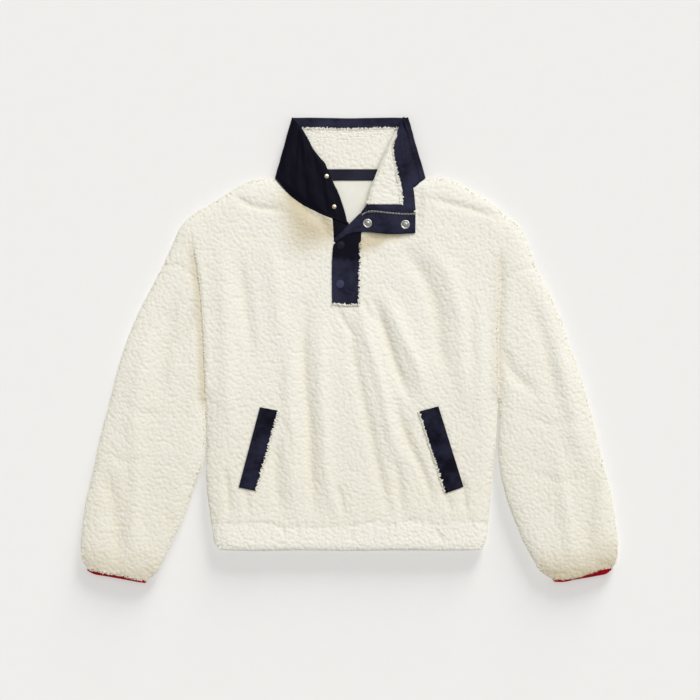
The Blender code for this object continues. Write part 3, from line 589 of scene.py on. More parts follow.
# Folds of the front: how far each stands up, or sinks below zero, its half width, and the line it follows.
frontFolds = [
    (-3.2, 9, [(-73, 74), (-76.5, -18.5), (-68, -119), (-64.5, -203), (-58, -273.5)]),
    (2.4, 11, [(-46, 49), (-48, -52), (-43, -136), (-33, -236.5), (-19.5, -273.5)]),
    (-2.6, 9, [(1, 49), (9, -18.5), (21, -77), (38, -152.5), (56.5, -236.5), (68, -273.5)]),
    (2.6, 10, [(19.5, 62.5), (36, -1.5), (53, -60.5), (68, -136), (78, -178)]),
    (-4.0, 8, [(43, 79), (63, 15.5), (88, -55.5), (98.5, -79)]),
    (2.8, 12, [(64.5, 82.5), (88, 23.5), (115, -35), (125, -77)]),
    (-2.6, 7, [(80, -89), (88, -127.5), (101.5, -161), (125, -211.5), (138.5, -253.5)]),
    (-3.4, 13, [(91.5, 170), (127, 116), (145.5, 65.5), (152, -1.5), (162, -43.5)]),
    (2.4, 14, [(132, 175), (164, 124.5), (184, 57.5), (189, -18.5), (195.5, -102.5)]),
    (-2.0, 8, [(76.5, -181.5), (83, -228.5), (88, -275.5)]),
    (-1.8, 9, [(-122, -152.5), (-122, -220), (-115, -278.5)]),
    (2.0, 12, [(-96.5, 32), (-101.5, -85.5), (-96.5, -203), (-90, -273.5)]),
    (-2.2, 10, [(-184, 146.5), (-172, 65.5), (-164, -18.5)]),
    (1.8, 16, [(-133.5, 183.5), (-122, 99.5), (-115, -1.5)]),
    (2.2, 14, [(-214, 166.5), (-207.5, 65.5), (-204, -52), (-201, -152.5)]),
    (-1.8, 6, [(-207.5, -203), (-202.5, -245), (-201, -277)]),
    (-1.8, 6, [(189, -216.5), (192.5, -250), (195.5, -277)]),
    (2.0, 12, [(216, 82.5), (219, -18.5), (216, -119)]),
    (-1.8, 6, [(-193, 262.5), (-187.5, 253), (-165.5, 240.5), (-110, 232)]),
    (-1.8, 6, [(135, 251.5), (184, 238.5), (254.5, 218.5)]),
    (-1.8, 12, [(-291.5, 91), (-305, 7), (-318.5, -85.5)]),
    (2.0, 14, [(-335, 32), (-353.5, -68.5), (-365.5, -169.5)]),
    (-2.2, 9, [(-258, 82.5), (-274.5, 32), (-301.5, -5)]),
    (-2.0, 12, [(-409, -203), (-392.5, -270.5), (-385.5, -346)]),
    (1.8, 12, [(-352, -152.5), (-358.5, -253.5), (-365.5, -346)]),
    (-2.4, 10, [(253, 7), (273, -38.5), (310, -72)]),
    (-1.8, 12, [(303, 82.5), (328.5, -1.5), (347, -94)]),
    (2.0, 14, [(345, 15.5), (369, -85.5), (387, -186.5)]),
    (-2.0, 12, [(414, -203), (400.5, -278.5), (397.5, -346)]),
    (1.8, 12, [(347, -169.5), (360.5, -262), (374, -346)]),
    # the cloth dips below the collar's tip and below the folded flap
    (-3.6, 9, [(-120, 272.5), (-96.5, 252), (-69.5, 230.5), (-46, 213.5), (-36, 186.5)]),
    (-2.8, 7, [(24.5, 186.5), (61.5, 185), (105, 190)]),
    (-1.4, 7, [(117, 274), (117, 244), (115, 207)]),
    # short wrinkles below the placket, beside the pockets and at the elbows
    (-1.4, 5, [(-19.5, 67.5), (-9, 45.5), (6, 22)]),
    (-1.2, 5, [(21, 82.5), (31, 62.5), (44.5, 45.5)]),
    (-1.2, 6, [(-110, -115.5), (-100, -152.5), (-98.5, -189.5)]),
    (-1.2, 6, [(105, -115.5), (95, -146), (93, -173)]),
    (-0.7, 8, [(-385.5, -85.5), (-352, -105.5), (-308.5, -109)]),
    (-0.6, 8, [(-412.5, -173), (-372, -189.5), (-332, -183)]),
    (-0.7, 8, [(300, -115.5), (340, -126), (387, -112.5)]),
    (-0.6, 8, [(303, -203), (347, -220), (397.5, -213)]),
    (-1.4, 5, [(-117, -294), (-108.5, -310.5)]),
    (-1.2, 4, [(2.5, -300.5), (2.5, -320.5)]),
    (-1.4, 5, [(143.5, -302), (155.5, -322.5)]),
    (-1.6, 6, [(-172, -277), (-170.5, -253.5), (-174, -230)]),
    (-1.6, 6, [(-11, -280.5), (-14.5, -253.5), (-22.5, -226.5)]),
    (-1.4, 6, [(167, -273.5), (164, -253.5), (153.5, -233.5)]),
]

# Where body and sleeve meet low down: the side the sleeve is on, the crease's line, and its shade on the
# sleeve's side and on the body's, as how strong, how far from the line and how wide.
creases = [(-1, smoothLine([(-264.5, 196.5), (-258, 146.5), *leftArmhole[2:]], 6.0), (0.68, 3.5, 7.0),
            (0.5, 0.0, 2.6)),
           (1, smoothLine([(248, 183.5), (251, 143), *rightArmhole[2:]], 6.0), (0.3, 0.0, 11.0),
            (0.3, 1.0, 9.5))]
# The seams above the creases, which dip a little and carry a thin line of painted shade.
seamDips = [smoothLine(leftArmhole[:3], 4.0), smoothLine(rightArmhole[:3], 4.0)]
# Where the collar and the folded flap shade the cloth beside them: how much, how far it reaches, line.
softShades = [(1.0, 27, [(-90, 244), (-76.5, 213.5), (-53, 200), (-36, 203.5)]),
              (0.35, 24, [(-88, 178.5), (-83, 176.5)]), (1.1, 16, [(19.5, 176.5), (38, 183.5)]),
              (0.8, 11, [(44.5, 186.5), (78, 193.5)])]
# Edges towards which the cloth thins: height at the edge, width of the slope, line.
freeEdges = [(10.0, 15, smoothLine(hemBottom, 8.0)),
             (7.5, 52, smoothLine(leftCuff, 6.0)), (7.5, 52, smoothLine(rightCuff, 6.0)),
             (13.0, 14, smoothLine(leftFrontEdge, 6.0)),
             (13.0, 26, smoothLine([(91.5, 378), (71.5, 351.5), (51, 309.5), (38, 267.5), (21, 230.5),
                                    (1.5, 213.5)], 6.0))]

bodyForm = {
    "loft": 16.5,           # top of the front above the surface
    "foldHeight": 7.0,      # where front and back meet at a side fold
    "frontTurn": 30.0,      # width over which the front rounds down to a side fold
    "backTurn": 11.0,       # width over which the back lifts up to a side fold
    "creaseWidth": 19.0,    # of the creases between body and sleeves, on the sleeve's side
    "creaseEdge": 7.0,      # and on the body's side
    "creaseLevel": 12.2,    # how high the cloth is along them
    "seamDip": 1.0,         # how far the upper armhole seams dip
    "seamWidth": 5.0,
    "backEdge": 3.0,        # how far the back lifts at the hem and the cuffs
    "backEdgeTurn": 7,
    "foldStrength": 1.65,   # on the rises in the table of folds
    "foldShade": 17,        # the rise at which a fold would be fully shaded
    "softWaves": 1.1,       # slow rise and fall of the lying cloth
    "gathers": 1.3,         # small gathers above the hem band
}


def turnedOver(distance, width):
    # a round shoulder, from 0 at an edge to 1 this far in
    short = 1 - np.clip(distance / width, 0, 1)
    return np.sqrt(1 - short * short)


def foldDistance(points, reach=40.0):
    # how far each point is from the nearest side fold
    return np.minimum.reduce([nearest(points, line, reach)[0] for line in sideFolds])


def frontForm(points):
    # height of the upper face without its pile, and the painted shade at each point: in folds, creases, seams
    # and gathers, beside the collar and the flap, and low down
    x, y = points.T
    height, hollow = np.full(len(points), bodyForm["loft"]), np.zeros(len(points))
    height += bodyForm["softWaves"] * (grain(x / 62, y / 85, 8) + 0.5 * grain(x / 27, y / 34, 9))
    for rise, width, line in frontFolds:
        gap, share = nearest(points, smoothLine(line, 6.0), 2.6 * width)
        here = (0.25 + 0.75 * np.clip(np.minimum(share, 1 - share) / 0.22, 0, 1)) * bell(gap, width)
        height += bodyForm["foldStrength"] * rise * here
        # painted shade in the folds that sink
        if rise < 0:
            hollow += here * -rise / bodyForm["foldShade"]
    seamGap = nearest(points, smoothLine(hemSeam, 4.0), 40)[0]
    gathered = grain(x / 8.5, y / 60, 10) + 0.6 * grain(x / 4.7 + 9, y / 40, 11)
    height += bodyForm["gathers"] * gathered * bell(seamGap, 15)
    # painted shade in the troughs of the gathers
    hollow += 0.2 * np.clip(-gathered, 0, 1) * bell(seamGap, 12)
    low = bodyForm["foldHeight"]
    height = low + (height - low) * turnedOver(foldDistance(points), bodyForm["frontTurn"])
    for side, line, sleeveShade, bodyShade in creases:
        gap, share = nearest(points, line, bodyForm["creaseWidth"] + 2)
        onSleeve = side * (x - np.interp(-y, -line[:, 1], line[:, 0])) > 0
        depth = np.clip(share / 0.16, 0, 1) ** 1.5
        slope = np.where(onSleeve, bodyForm["creaseWidth"], bodyForm["creaseEdge"])
        near = (1 - np.clip(gap / slope, 0, 1)) ** 2
        height -= depth * np.maximum(height - bodyForm["creaseLevel"], 0) * near
        most, middle, width = (np.where(onSleeve, *pair) for pair in zip(sleeveShade, bodyShade))
        hollow += depth * most * bell(gap - middle, width)
    for line in seamDips:
        gap = nearest(points, line, 4 * bodyForm["seamWidth"])[0]
        height -= bodyForm["seamDip"] * bell(gap, bodyForm["seamWidth"])
        hollow += 0.12 * bell(gap, 3)
    for most, width, line in softShades:
        hollow += most * bell(nearest(points, smoothLine(line, 5.0), 2.5 * width)[0], width)
    for level, width, line in freeEdges:
        gap = nearest(points, line, width + 2)[0]
        height -= np.maximum(height - level, 0) * (1 - turnedOver(gap, width))
    # the hem seam is a soft valley under the body's gathers, deep in places and gone in others, with painted
    # shade in it
    seen = np.clip(0.35 + 1.3 * grain(x / 30, 0 * y + 3, 8), 0, 1)
    inBand = (y < np.interp(x, *np.array(hemSeam).T)) & (np.abs(x) < 236)
    height -= (0.1 + 1.3 * seen) * bell(seamGap, np.where(inBand, 6.0, 3.0))
    hollow += 0.09 * seen * bell(seamGap, np.where(inBand, 5.5, 2.5))
    # painted shade: the cloth is painted darker low down, on the left, and most towards the cuffs, where the
    # light falls off, with a little random tone in it
    paintedDimming = 0.17 * np.clip((20 - y) / 240, 0, 1) * ~inBand + 0.06 * np.clip((-160 - x) / 80, 0, 1)
    for most, line in ((0.42, leftCuff), (0.92, rightCuff)):
        paintedDimming += most * bell(nearest(points, smoothLine(line, 6.0), 120)[0], 38)
    hollow += paintedDimming * (1 + 0.35 * grain(x / 16, y / 16, 9))
    return height, np.clip(hollow, 0, 1)


def frontHeight(points):
    return frontForm(points)[0]


def backForm(points):
    # height of the lower face: flat where it lies, lifting towards a side fold or a free edge
    height = bodyForm["foldHeight"] * (1 - turnedOver(foldDistance(points, 14), bodyForm["backTurn"]))
    for line in [edge[2] for edge in freeEdges[:3]]:
        lift = 1 - turnedOver(nearest(points, line, 9)[0], bodyForm["backEdgeTurn"])
        height = np.maximum(height, bodyForm["backEdge"] * lift)
    return height, np.zeros(len(points))


rimForm = {"drop": 3.0, "inset": 2.5}      # how far a skin's rim turns down, and in


def clothSkin(outline, step, upper):
    # one face of a panel: its form, its pile and its turned rim
    form, up = (frontForm, 1.0) if upper else (backForm, -1.0)
    flat, quads, triangles, rim = clippedGrid(outline, step * detail)
    height, hollow = form(flat)
    east, west, north, south = (form(flat + way)[0] for way in ((1, 0), (-1, 0), (0, 1), (0, -1)))
    normals = np.stack([(west - east) * up, (south - north) * up, np.full(len(flat), 2 * up)], -1)
    atFold = (foldDistance(flat, 3.0) < 1.0) & rim
    height[atFold] = bodyForm["foldHeight"]
    normals[atFold] = withHeight(wayOut(flat[atFold]), np.full(atFold.sum(), 0.15 * up))
    normals = unit(normals)
    depth, sunk = pile(*flat.T), pileLook["sunk"]
    if not upper:
        folded = np.clip(foldDistance(flat, 8) / 6, 0, 1)       # at a side fold both faces have the same pile
        depth += folded * (pile(flat[:, 0] + 500, flat[:, 1]) - depth)
        sideways = np.clip(np.linalg.norm(normals[:, :2], axis=1) * 2 - 0.6, 0, 1)
        sunk = sunk * sideways + pileLook["sunkBelow"] * (1 - sideways)
        quads, triangles = quads[:, ::-1], triangles[:, ::-1]
    points = withHeight(flat, height) + (pileLook["height"] * (depth - sunk))[:, None] * normals
    points[:, 2] = np.maximum(points[:, 2], 0)
    skin = {"points": points, "quads": quads, "triangles": triangles, "pileDepth": depth, "hollow": hollow}
    return turnedUnder(skin, up * rimForm["drop"], up * rimForm["inset"])


def wayOut(points):
    # the way out of the cloth at points on a side fold
    best, ways = np.full(len(points), 1e9), np.zeros((len(points), 2))
    for line in sideFolds:
        for start, end in zip(line[:-1], line[1:]):
            along = end - start
            t = np.clip((points - start) @ along / max(along @ along, 1e-9), 0, 1)
            gap = np.linalg.norm(points - start - t[:, None] * along, axis=1)
            closer = gap < best
            best[closer] = gap[closer]
            ways[closer] = np.array([along[1], -along[0]]) / max(np.linalg.norm(along), 1e-9)
    within = np.array([insideGarment(point) for point in points + 3.0 * ways])
    return np.where(within[:, None], -ways, ways)


# The whole outline, round from the left cuff.
garment = [smoothLine(leftSleeveOuter[::-1] + leftShoulder[::-1][1:], 6.0), [(-96.5, 388.5), (98.5, 388.5)]]
for stretch, turn in ((rightShoulder, 1), (rightSleeveOuter, 1), (rightSleeveInner, -1), (rightSide, 1),
                      (hemRight, 1), (hemBottom, -1), (hemLeft, -1), (leftSide, -1), (leftSleeveInner, 1)):
    garment.append(smoothLine(stretch, 6.0)[::turn])
garment = np.concatenate(garment)


def insideGarment(point):
    # whether a ray from the point crosses the outline an odd number of times
    x, y = garment.T
    nextX, nextY = np.roll(x, -1), np.roll(y, -1)
    cut = (y <= point[1]) != (nextY <= point[1])
    with np.errstate(divide="ignore", invalid="ignore"):
        crossing = x + (point[1] - y) / (nextY - y) * (nextX - x)
    return bool((cut & (crossing > point[0])).sum() % 2)


def outlineOf(*stretches):
    # one closed outline from stretches that are smooth by themselves
    joined = np.concatenate([smoothLine(stretch, 4.0) for stretch in stretches])
    return joined[np.linalg.norm(joined - np.roll(joined, 1, axis=0), axis=1) > 0.05]


flapSlit = [[(-28.5, 218), (-26, 178.5)], [(-26, 178.5), (19.5, 178.5)], [(19.5, 178.5), (19.5, 221)]]
leftUp = [line[::-1] for line in (leftSide, leftArmhole, leftShoulder)]
rightDown = [rightShoulder, rightArmhole, rightSide, hemSeam[::-1]]
backNeck = [(-125, 287.5), (-83, 288.5), (1, 289), (85, 288.5), (127.5, 287.5)]
frontOutline = outlineOf(*leftUp, leftNeckSeam, *flapSlit, rightNeckSeam, *rightDown)
backOutline = outlineOf(*leftUp, backNeck, *rightDown)
# a sleeve and the band tuck a little under the body at their seams
tuckedLeft, tuckedRight = [(x + 2.0, y) for x, y in leftArmhole], [(x - 2.0, y) for x, y in rightArmhole]
tuckedHem = [(x, y + 1.6) for x, y in hemSeam]
leftSleeveEnd = [(-333.5, -384), (-340, -386.5), (-358.5, -384), (-377, -379), (-394, -376), (-411, -373),
                 (-427.5, -370), (-440, -366)]
rightSleeveEnd = [(335, -383), (345, -385), (358.5, -384), (379, -381.5), (397.5, -376), (414, -370),
                  (427.5, -366.5), (439.5, -366)]
leftSleeveOutline = outlineOf(tuckedLeft, leftSleeveInner, leftSleeveEnd, leftSleeveOuter[::-1])
rightSleeveOutline = outlineOf(tuckedRight, rightSleeveInner, rightSleeveEnd, rightSleeveOuter[::-1])
bandOutline = outlineOf(tuckedHem, hemRight, hemBottom[::-1], hemLeft[::-1])

# How fine each skin's grid is.
clothSteps = {"front": 1.75, "back": 2.3, "backInside": 7.0, "sleeve": 1.65, "sleeveBelow": 2.3, "band": 1.6}

bodyFront = meshPiece("fleece_front", [clothSkin(frontOutline, clothSteps["front"], True)], fleece,
                      ["body_front"])
bodyBack = meshPiece("fleece_back", [clothSkin(backOutline, clothSteps["back"], False)], fleece,
                     ["body_back"])
print("body panels made")
for side, outline in (("left", leftSleeveOutline), ("right", rightSleeveOutline)):
    skins = [clothSkin(outline, clothSteps["sleeve"], True),
             clothSkin(outline, clothSteps["sleeveBelow"], False)]
    meshPiece(f"fleece_sleeve_{side}", skins, fleece, [f"sleeve_{side}"])
hemBand = meshPiece("fleece_hem_band", [clothSkin(bandOutline, clothSteps["band"], True),
                                        clothSkin(bandOutline, clothSteps["sleeveBelow"], False)],
                    fleece, ["hem_band"])
print("sleeves and hem band made")

collarForm = {
    "sink": 1.0,          # how far the nylon lies below the fleece beside it
    "rollGap": 3.0,       # between the two faces of the shell inside the lapel's roll
    "bend": 1.6,          # how far the lapel's roll reaches to either side
    "facing": 16.4,       # nylon facing inside the top edge
    "frontFacing": 3.8,   # how much wider it is on the folded front
    "backFacing": 2.6,    # and at the back of the neck
    "shell": 1.2,         # thickness of the nylon
    "lining": 3.5,        # thickness of the fleece lining
    "wrinkles": 0.75,     # of the shell
    "leftFolds": 2.0,     # long folds of the left front
    "finer": 1.4,         # how much finer the lining's grid is
    "bow": 3.6,           # how far the left front's edge bows out
    "ripples": 0.9,       # of the facing on the folded front
}
# Each row is a column of the collar's strip: its points on the top edge and on the neck seam. At the back it
# also has where it rolls, as a share; on the right front the point where it rolls, how far the folded lapel
# stands off there, and how thick the lining is.
leftFront = [((-40.5, 311), (-4, 208)), ((-48.5, 319.5), (-29.5, 218.5)), ((-61, 336), (-48, 225.5)),
             ((-69, 351.5), (-66.5, 234.5)), ((-77.5, 365.5), (-84, 246)), ((-85, 375), (-98.5, 257))]
backStrip = [((-66.5, 388.5), (-83, 289), 0.38), ((-33, 388), (-38, 289.5), 0.36),
             ((1, 387.5), (1, 290), 0.34), ((34.5, 388), (39.5, 289.5), 0.31), ((68, 388.5), (85, 289), 0.28)]
rightFront = [
    ((92.5, 386.5), (117.5, 279), (89, 378), 7, 0.1),
    ((90, 376.5), (112.5, 274), (82.5, 366.5), 5, 0.3),
    ((90, 363), (102.5, 267.5), (75.5, 353), 3, 0.5),
    ((90, 348), (89, 258.5), (69, 339.5), 3, 0.7),
    ((92.5, 326), (74, 250), (63, 326), 3, 0.85),
    ((96.5, 305), (59, 242.5), (54.5, 307.5), 3, 1),
    ((101.5, 284), (45.5, 235.5), (47, 287.5), 3, 1),
    ((107, 265.5), (33.5, 230), (38.5, 266.5), 3, 1),
    ((109, 244.5), (26, 225.5), (32.5, 245), 3, 1),
    ((110, 232), (16.5, 222), (21, 229), 3, 1),
]
# Rows of the dense grid, down from the top edge.
facingRows, lapelRows, turnRows, standRows = 9, 14, 5, 25
bendRow = facingRows + lapelRows + turnRows // 2


def collarColumn(top, neck, roll, rise, level):
    # points down one column; without a level it lies on the front
    top, neck, roll = (np.array(point, float) for point in (top, neck, roll))
    lapel, stand = np.linalg.norm(roll - top), np.linalg.norm(neck - roll)
    toTop, toNeck = (top - roll) / lapel, (neck - roll) / stand
    wider = collarForm["frontFacing"] if rise == 3 else collarForm["backFacing"] if level == 0 else 0
    bend, gap = collarForm["bend"], collarForm["rollGap"]
    facing = min(collarForm["facing"] + wider, 0.86 * lapel)
    down = np.append(np.linspace(0, facing, facingRows), np.linspace(facing, lapel - bend, lapelRows + 1)[1:])
    turn = np.cos(np.linspace(0, math.pi, turnRows + 2)[1:-1])[:, None]
    rest = np.linspace(bend, stand, standRows)
    flat = np.concatenate([top - down[:, None] * toTop,
                           roll + bend * (np.maximum(turn, 0) * toTop + np.maximum(-turn, 0) * toNeck),
                           roll + rest[:, None] * toNeck])
    lifts = np.concatenate([gap + (rise - gap) * (1 - down / lapel), gap / 2 * (1 + turn[:, 0]), 0 * rest])
    heights = frontHeight(flat) - collarForm["sink"] if level is None else np.full(len(flat), level)
    return withHeight(flat, heights + (lifts if rise > 0 else 0))


def between(first, second, share):
    return tuple(np.array(first) + share * (np.array(second) - np.array(first)))


def turningColumns(edge, share, front, back, angles):
    # columns round a side fold, from one face of the collar to the other
    low, made = bodyForm["foldHeight"], []
    for angle in np.radians(angles):
        inset, ends = low * (1 - math.cos(angle)), []
        for mine, theirs in zip(edge, front if angle > 0 else back):
            step = np.subtract(theirs, mine)
            ends.append(np.array(mine) + inset * step / np.hypot(*step))
        made.append(collarColumn(*ends, between(*ends, share), 0, low * (1 + math.sin(angle))))
    return made


def collarGrid():
    angles = (85, 50, 17, -17, -50, -90)
    columns = [collarColumn(top, neck, between(top, neck, 0.4), 0, None) for top, neck in leftFront]
    columns += turningColumns(((-96.5, 388.5), (-125, 287)), 0.4, leftFront[-1], backStrip[0][:2], angles)
    columns += [collarColumn(top, neck, between(top, neck, share), 0, 0.0) for top, neck, share in backStrip]
    columns += turningColumns(((98.5, 388.5), (127.5, 287)), 0.24, rightFront[0][:2], backStrip[-1][:2],
                              angles[::-1])
    columns += [collarColumn(*row[:4], None) for row in rightFront]
    # the loft dies out at the right fold and comes back down the right front
    lofts = np.array([1.0] * 16 + [0.8, 0.5, 0.3, 0.15, 0.05, 0.0, 0.0] + [row[4] for row in rightFront])
    keys = np.array(columns)
    places = placesAlong(keys, 2.4 * detail)
    # the left front's edge bows out, most two thirds of the way down, and less in the columns beside it
    bow = collarForm["bow"] * np.sin(math.pi * np.linspace(0, 1, keys.shape[1]) ** 1.7)
    for number, share in ((0, 1), (1, 0.45), (2, 0.15)):
        keys[number, :, 0] += share * bow
    grid = smoothAt(keys, places).transpose(1, 0, 2)
    lofts = np.interp(places, np.arange(len(keys)), lofts)
    return grid, lofts, places


def eveningOut(values, rounds):
    # softens a grid of vectors along both ways
    for number in range(rounds):
        padded = np.pad(values, ((1, 1), (1, 1), (0, 0)), mode="edge")
        values = (padded[1:-1, 1:-1] * 2 + padded[:-2, 1:-1] + padded[2:, 1:-1] + padded[1:-1, :-2]
                  + padded[1:-1, 2:]) / 6
    return values


def column(place):
    # the dense grid's column at a fractional column of the table
    return float(np.interp(place, collarPlaces, np.arange(len(collarPlaces))))


def clothPlaces(grid):
    # millimetres along both ways of a grid of points, for weave, wrinkles and pile that follow the cloth
    along = np.linalg.norm(np.diff(grid, axis=1), axis=-1).mean(axis=0)
    down = np.linalg.norm(np.diff(grid, axis=0), axis=-1).mean(axis=1)
    return np.meshgrid(np.append(0, np.cumsum(along)), np.append(0, np.cumsum(down)))


face, loft, collarPlaces = collarGrid()
inside = unit(eveningOut(-gridNormals(face), 2))
alongCollar, downCollar = clothPlaces(face)
wrinkle = grain(alongCollar / 33, downCollar / 21, 8) + 0.5 * grain(alongCollar / 14 + 5, downCollar / 17, 9)
wrinkle += 0.35 * grain(alongCollar / 6, downCollar / 13 + 3, 10)
edgeFade = np.clip(np.minimum(downCollar, downCollar[-1] - downCollar) / 12, 0.25, 1)
onBack = np.interp(collarPlaces, [8, 11, 17, 20], [1, 0, 0, 1])
onLeft = np.interp(collarPlaces, [0, 1, 5, 8], [0.3, 1, 1, 0])
longFolds = grain(alongCollar / 17 + 0.16 * downCollar / 17, downCollar / 95, 5)
longFolds += 0.35 * grain(alongCollar / 8, downCollar / 50, 6)
lifted = collarForm["wrinkles"] * wrinkle * onBack + collarForm["leftFolds"] * longFolds * onLeft
wrinkled = face - (lifted * edgeFade)[..., None] * inside
wrinkled[..., 2] = np.maximum(wrinkled[..., 2], 0.1)
thick = collarForm["shell"]
# painted shade: the shell is painted darkest on the left front, which faces away from the light, and lighter
# towards the right
shaded = np.interp(collarPlaces, [0, 3.5, 5, 6.5, 9, 20, 24], [1.0, 1.0, 0.75, 0.55, 0.5, 0.3, 0.0])
shaded = np.broadcast_to(shaded, face.shape[:2]).ravel()
shellWall = wallPart(wrinkled, wrinkled + thick * inside, hollow=np.tile(shaded, 2))
shell = meshPiece("collar_shell_cloth", [shellWall], nylon, ["collar_shell"])

pressed = 0.8 * (1 - loft)[None, :, None]
under = face + (thick + 0.3 + pressed) * inside
# the facing of the folded front ripples along its length
rippled = grain(alongCollar / 26, downCollar / 5.5, 9) + 0.5 * grain(alongCollar / 11, downCollar / 4, 8)
rippled *= np.interp(collarPlaces, [22, 24], [0, 1])
waves = (0.25 * grain(alongCollar / 21, downCollar / 16, 11) + collarForm["ripples"] * rippled)[..., None]
facingTop = under + (thick + waves) * inside
facing = meshPiece("collar_facing_cloth", [wallPart(facingTop[:facingRows], under[:facingRows])], nylon,
                   ["collar_facing"])

rows = slice(facingRows - 1, -3)
columns = slice(*np.searchsorted(collarPlaces, (0.95, 31.28)))
liningGrid = (under + collarForm["lining"] * loft[None, :, None] * inside)[rows, columns]
liningFoot, liningUp = under[rows, columns], inside[rows, columns]
fineRows, fineColumns = (np.linspace(0, count - 1, int(count * collarForm["finer"] / detail))
                         for count in liningGrid.shape[:2])
columnShares, fineShares = (np.linspace(0, 1, count) for count in (liningGrid.shape[1], len(fineColumns)))
liningLoft = np.interp(fineShares, columnShares, loft[columns])


def finer(grid):
    return smoothAt(smoothAt(grid, fineRows).transpose(1, 0, 2), fineColumns).transpose(1, 0, 2)


liningGrid, liningFoot, liningUp = finer(liningGrid), finer(liningFoot), unit(finer(liningUp))
alongLining, downLining = clothPlaces(liningGrid)
depth = pile(alongLining + 900, downLining + 300)
puff = (pileLook["height"] * (depth - pileLook["sunk"]) * np.clip(liningLoft, 0, 1) ** 0.7)[..., None]


def liningColumn(place):
    return float(np.interp(column(place) - columns.start, [0, columns.stop - columns.start - 1],
                           [0, liningGrid.shape[1] - 1.001]))


# the lining stops short of the corner, where the folded front hides it
liningParts = []
for stretch in (slice(0, int(liningColumn(21.6))), slice(int(liningColumn(24.3)), None)):
    tones = np.append(depth[:, stretch], np.full(depth[:, stretch].size, 0.5))
    top = (liningGrid + puff * liningUp)[:, stretch]
    liningParts.append(wallPart(top, liningFoot[:, stretch], pileDepth=tones, hollow=np.zeros(tones.size)))
lining = meshPiece("collar_lining_fleece", liningParts, fleece, ["collar_lining"])
print("collar made")


def gridLine(grid, normals, places):
    # points and normals at fractional (row, column) places of a grid
    low = np.minimum(places.astype(int), np.array(grid.shape[:2]) - 2)
    part = places - low
    found = []
    for field in (grid, normals):
        a, b = field[low[:, 0], low[:, 1]], field[low[:, 0] + 1, low[:, 1]]
        c, d = field[low[:, 0], low[:, 1] + 1], field[low[:, 0] + 1, low[:, 1] + 1]
        v, u = part[:, :1], part[:, 1:]
        found.append((1 - u) * ((1 - v) * a + v * b) + u * ((1 - v) * c + v * d))
    return found[0], unit(found[1])


# The zip's tape: its thickness, how far it goes past the teeth and how wide it is before them; and its teeth.
zipForm = {"tape": 0.8, "past": 1.5, "wide": 8.0, "pitch": 2.5, "toothWide": 1.25, "toothLong": 3.0}


def spreadAlong(line, step):
    # fractional point numbers a step apart along a line
    length = walked(line)
    return np.interp(np.arange(0.5 * step, length[-1], step), length, np.arange(len(line)))


def readAt(values, places):
    low = np.minimum(places.astype(int), len(values) - 2)
    part = (places - low)[:, None]
    return (1 - part) * values[low] + part * values[low + 1]


toothOutline = np.array([(-0.5, -0.5), (-0.28, -0.62), (0.28, -0.62), (0.5, -0.5), (0.5, 0.30), (0.30, 0.5),
                         (-0.30, 0.5), (-0.5, 0.30)])


def zipTeeth(line, inward, normals):
    # rounded metal teeth clamped over the tape's edge
    places = spreadAlong(line, zipForm["pitch"])
    middles, across, ups = readAt(line, places), unit(readAt(inward, places)), unit(readAt(normals, places))
    along, corners = np.cross(ups, across), []
    for height, shrink in ((-1.1, 0.8), (-0.9, 1.0), (0.55, 1.0), (0.85, 0.78)):
        for u, v in toothOutline:
            corners.append(middles + shrink * zipForm["toothWide"] * u * along
                           + shrink * zipForm["toothLong"] * (v - 0.18) * -across + height * ups)
    caps = [(3, 2, 1, 0), (7, 4, 3, 0), (7, 6, 5, 4), (24, 25, 26, 27), (24, 27, 28, 31), (28, 29, 30, 31)]
    return {"points": np.stack(corners, axis=1).reshape(-1, 3),
            "quads": repeated(np.concatenate([gridFaces(4, 8, True), caps]), len(places), 32)}


# The left tape lies along the shell's front edge, from below the facing down.
lying = (face + (thick + 0.6) * inside)[facingRows + 2:]
leftZipUp, leftZipIn = inside[facingRows + 2:, 0], unit(lying[:, 1] - lying[:, 0])
tapeGrid = lying[:, :1] + np.linspace(-zipForm["past"], zipForm["wide"], 4)[:, None] * leftZipIn[:, None]
tapeTop = tapeGrid + zipForm["tape"] * leftZipUp[:, None]
leftTape = meshPiece("zip_tape_cloth_left", [wallPart(tapeTop, tapeGrid)], innerNylon,
                     ["zip_tape_left"])
leftZipLine = lying[:, 0] + zipForm["tape"] * leftZipUp
# On the right the zip's side of the front is folded over, and its tape shows as a strip above the teeth.
stripTop = [(20, 226.5), (27.5, 234.5), (33.5, 241), (39.5, 244), (51, 245), (71.5, 244), (91.5, 243),
            (110.5, 244)]
stripTeeth = [(19.5, 223.5), (23.5, 226.5), (31.5, 230), (41, 230.5), (51.5, 229.5), (75.5, 227), (91.5, 226),
              (110, 226)]


def topAt(tree, x, y):
    # how high a piece's upper face is at a place
    hit = tree.ray_cast(Vector((x * mm, y * mm, 1)), Vector((0, 0, -1)))[0]
    return hit.z / mm if hit else 0.0


def treeOf(piece):
    points = [vertex.co for vertex in piece.data.vertices]
    return BVHTree.FromPolygons(points, [list(polygon.vertices) for polygon in piece.data.polygons])


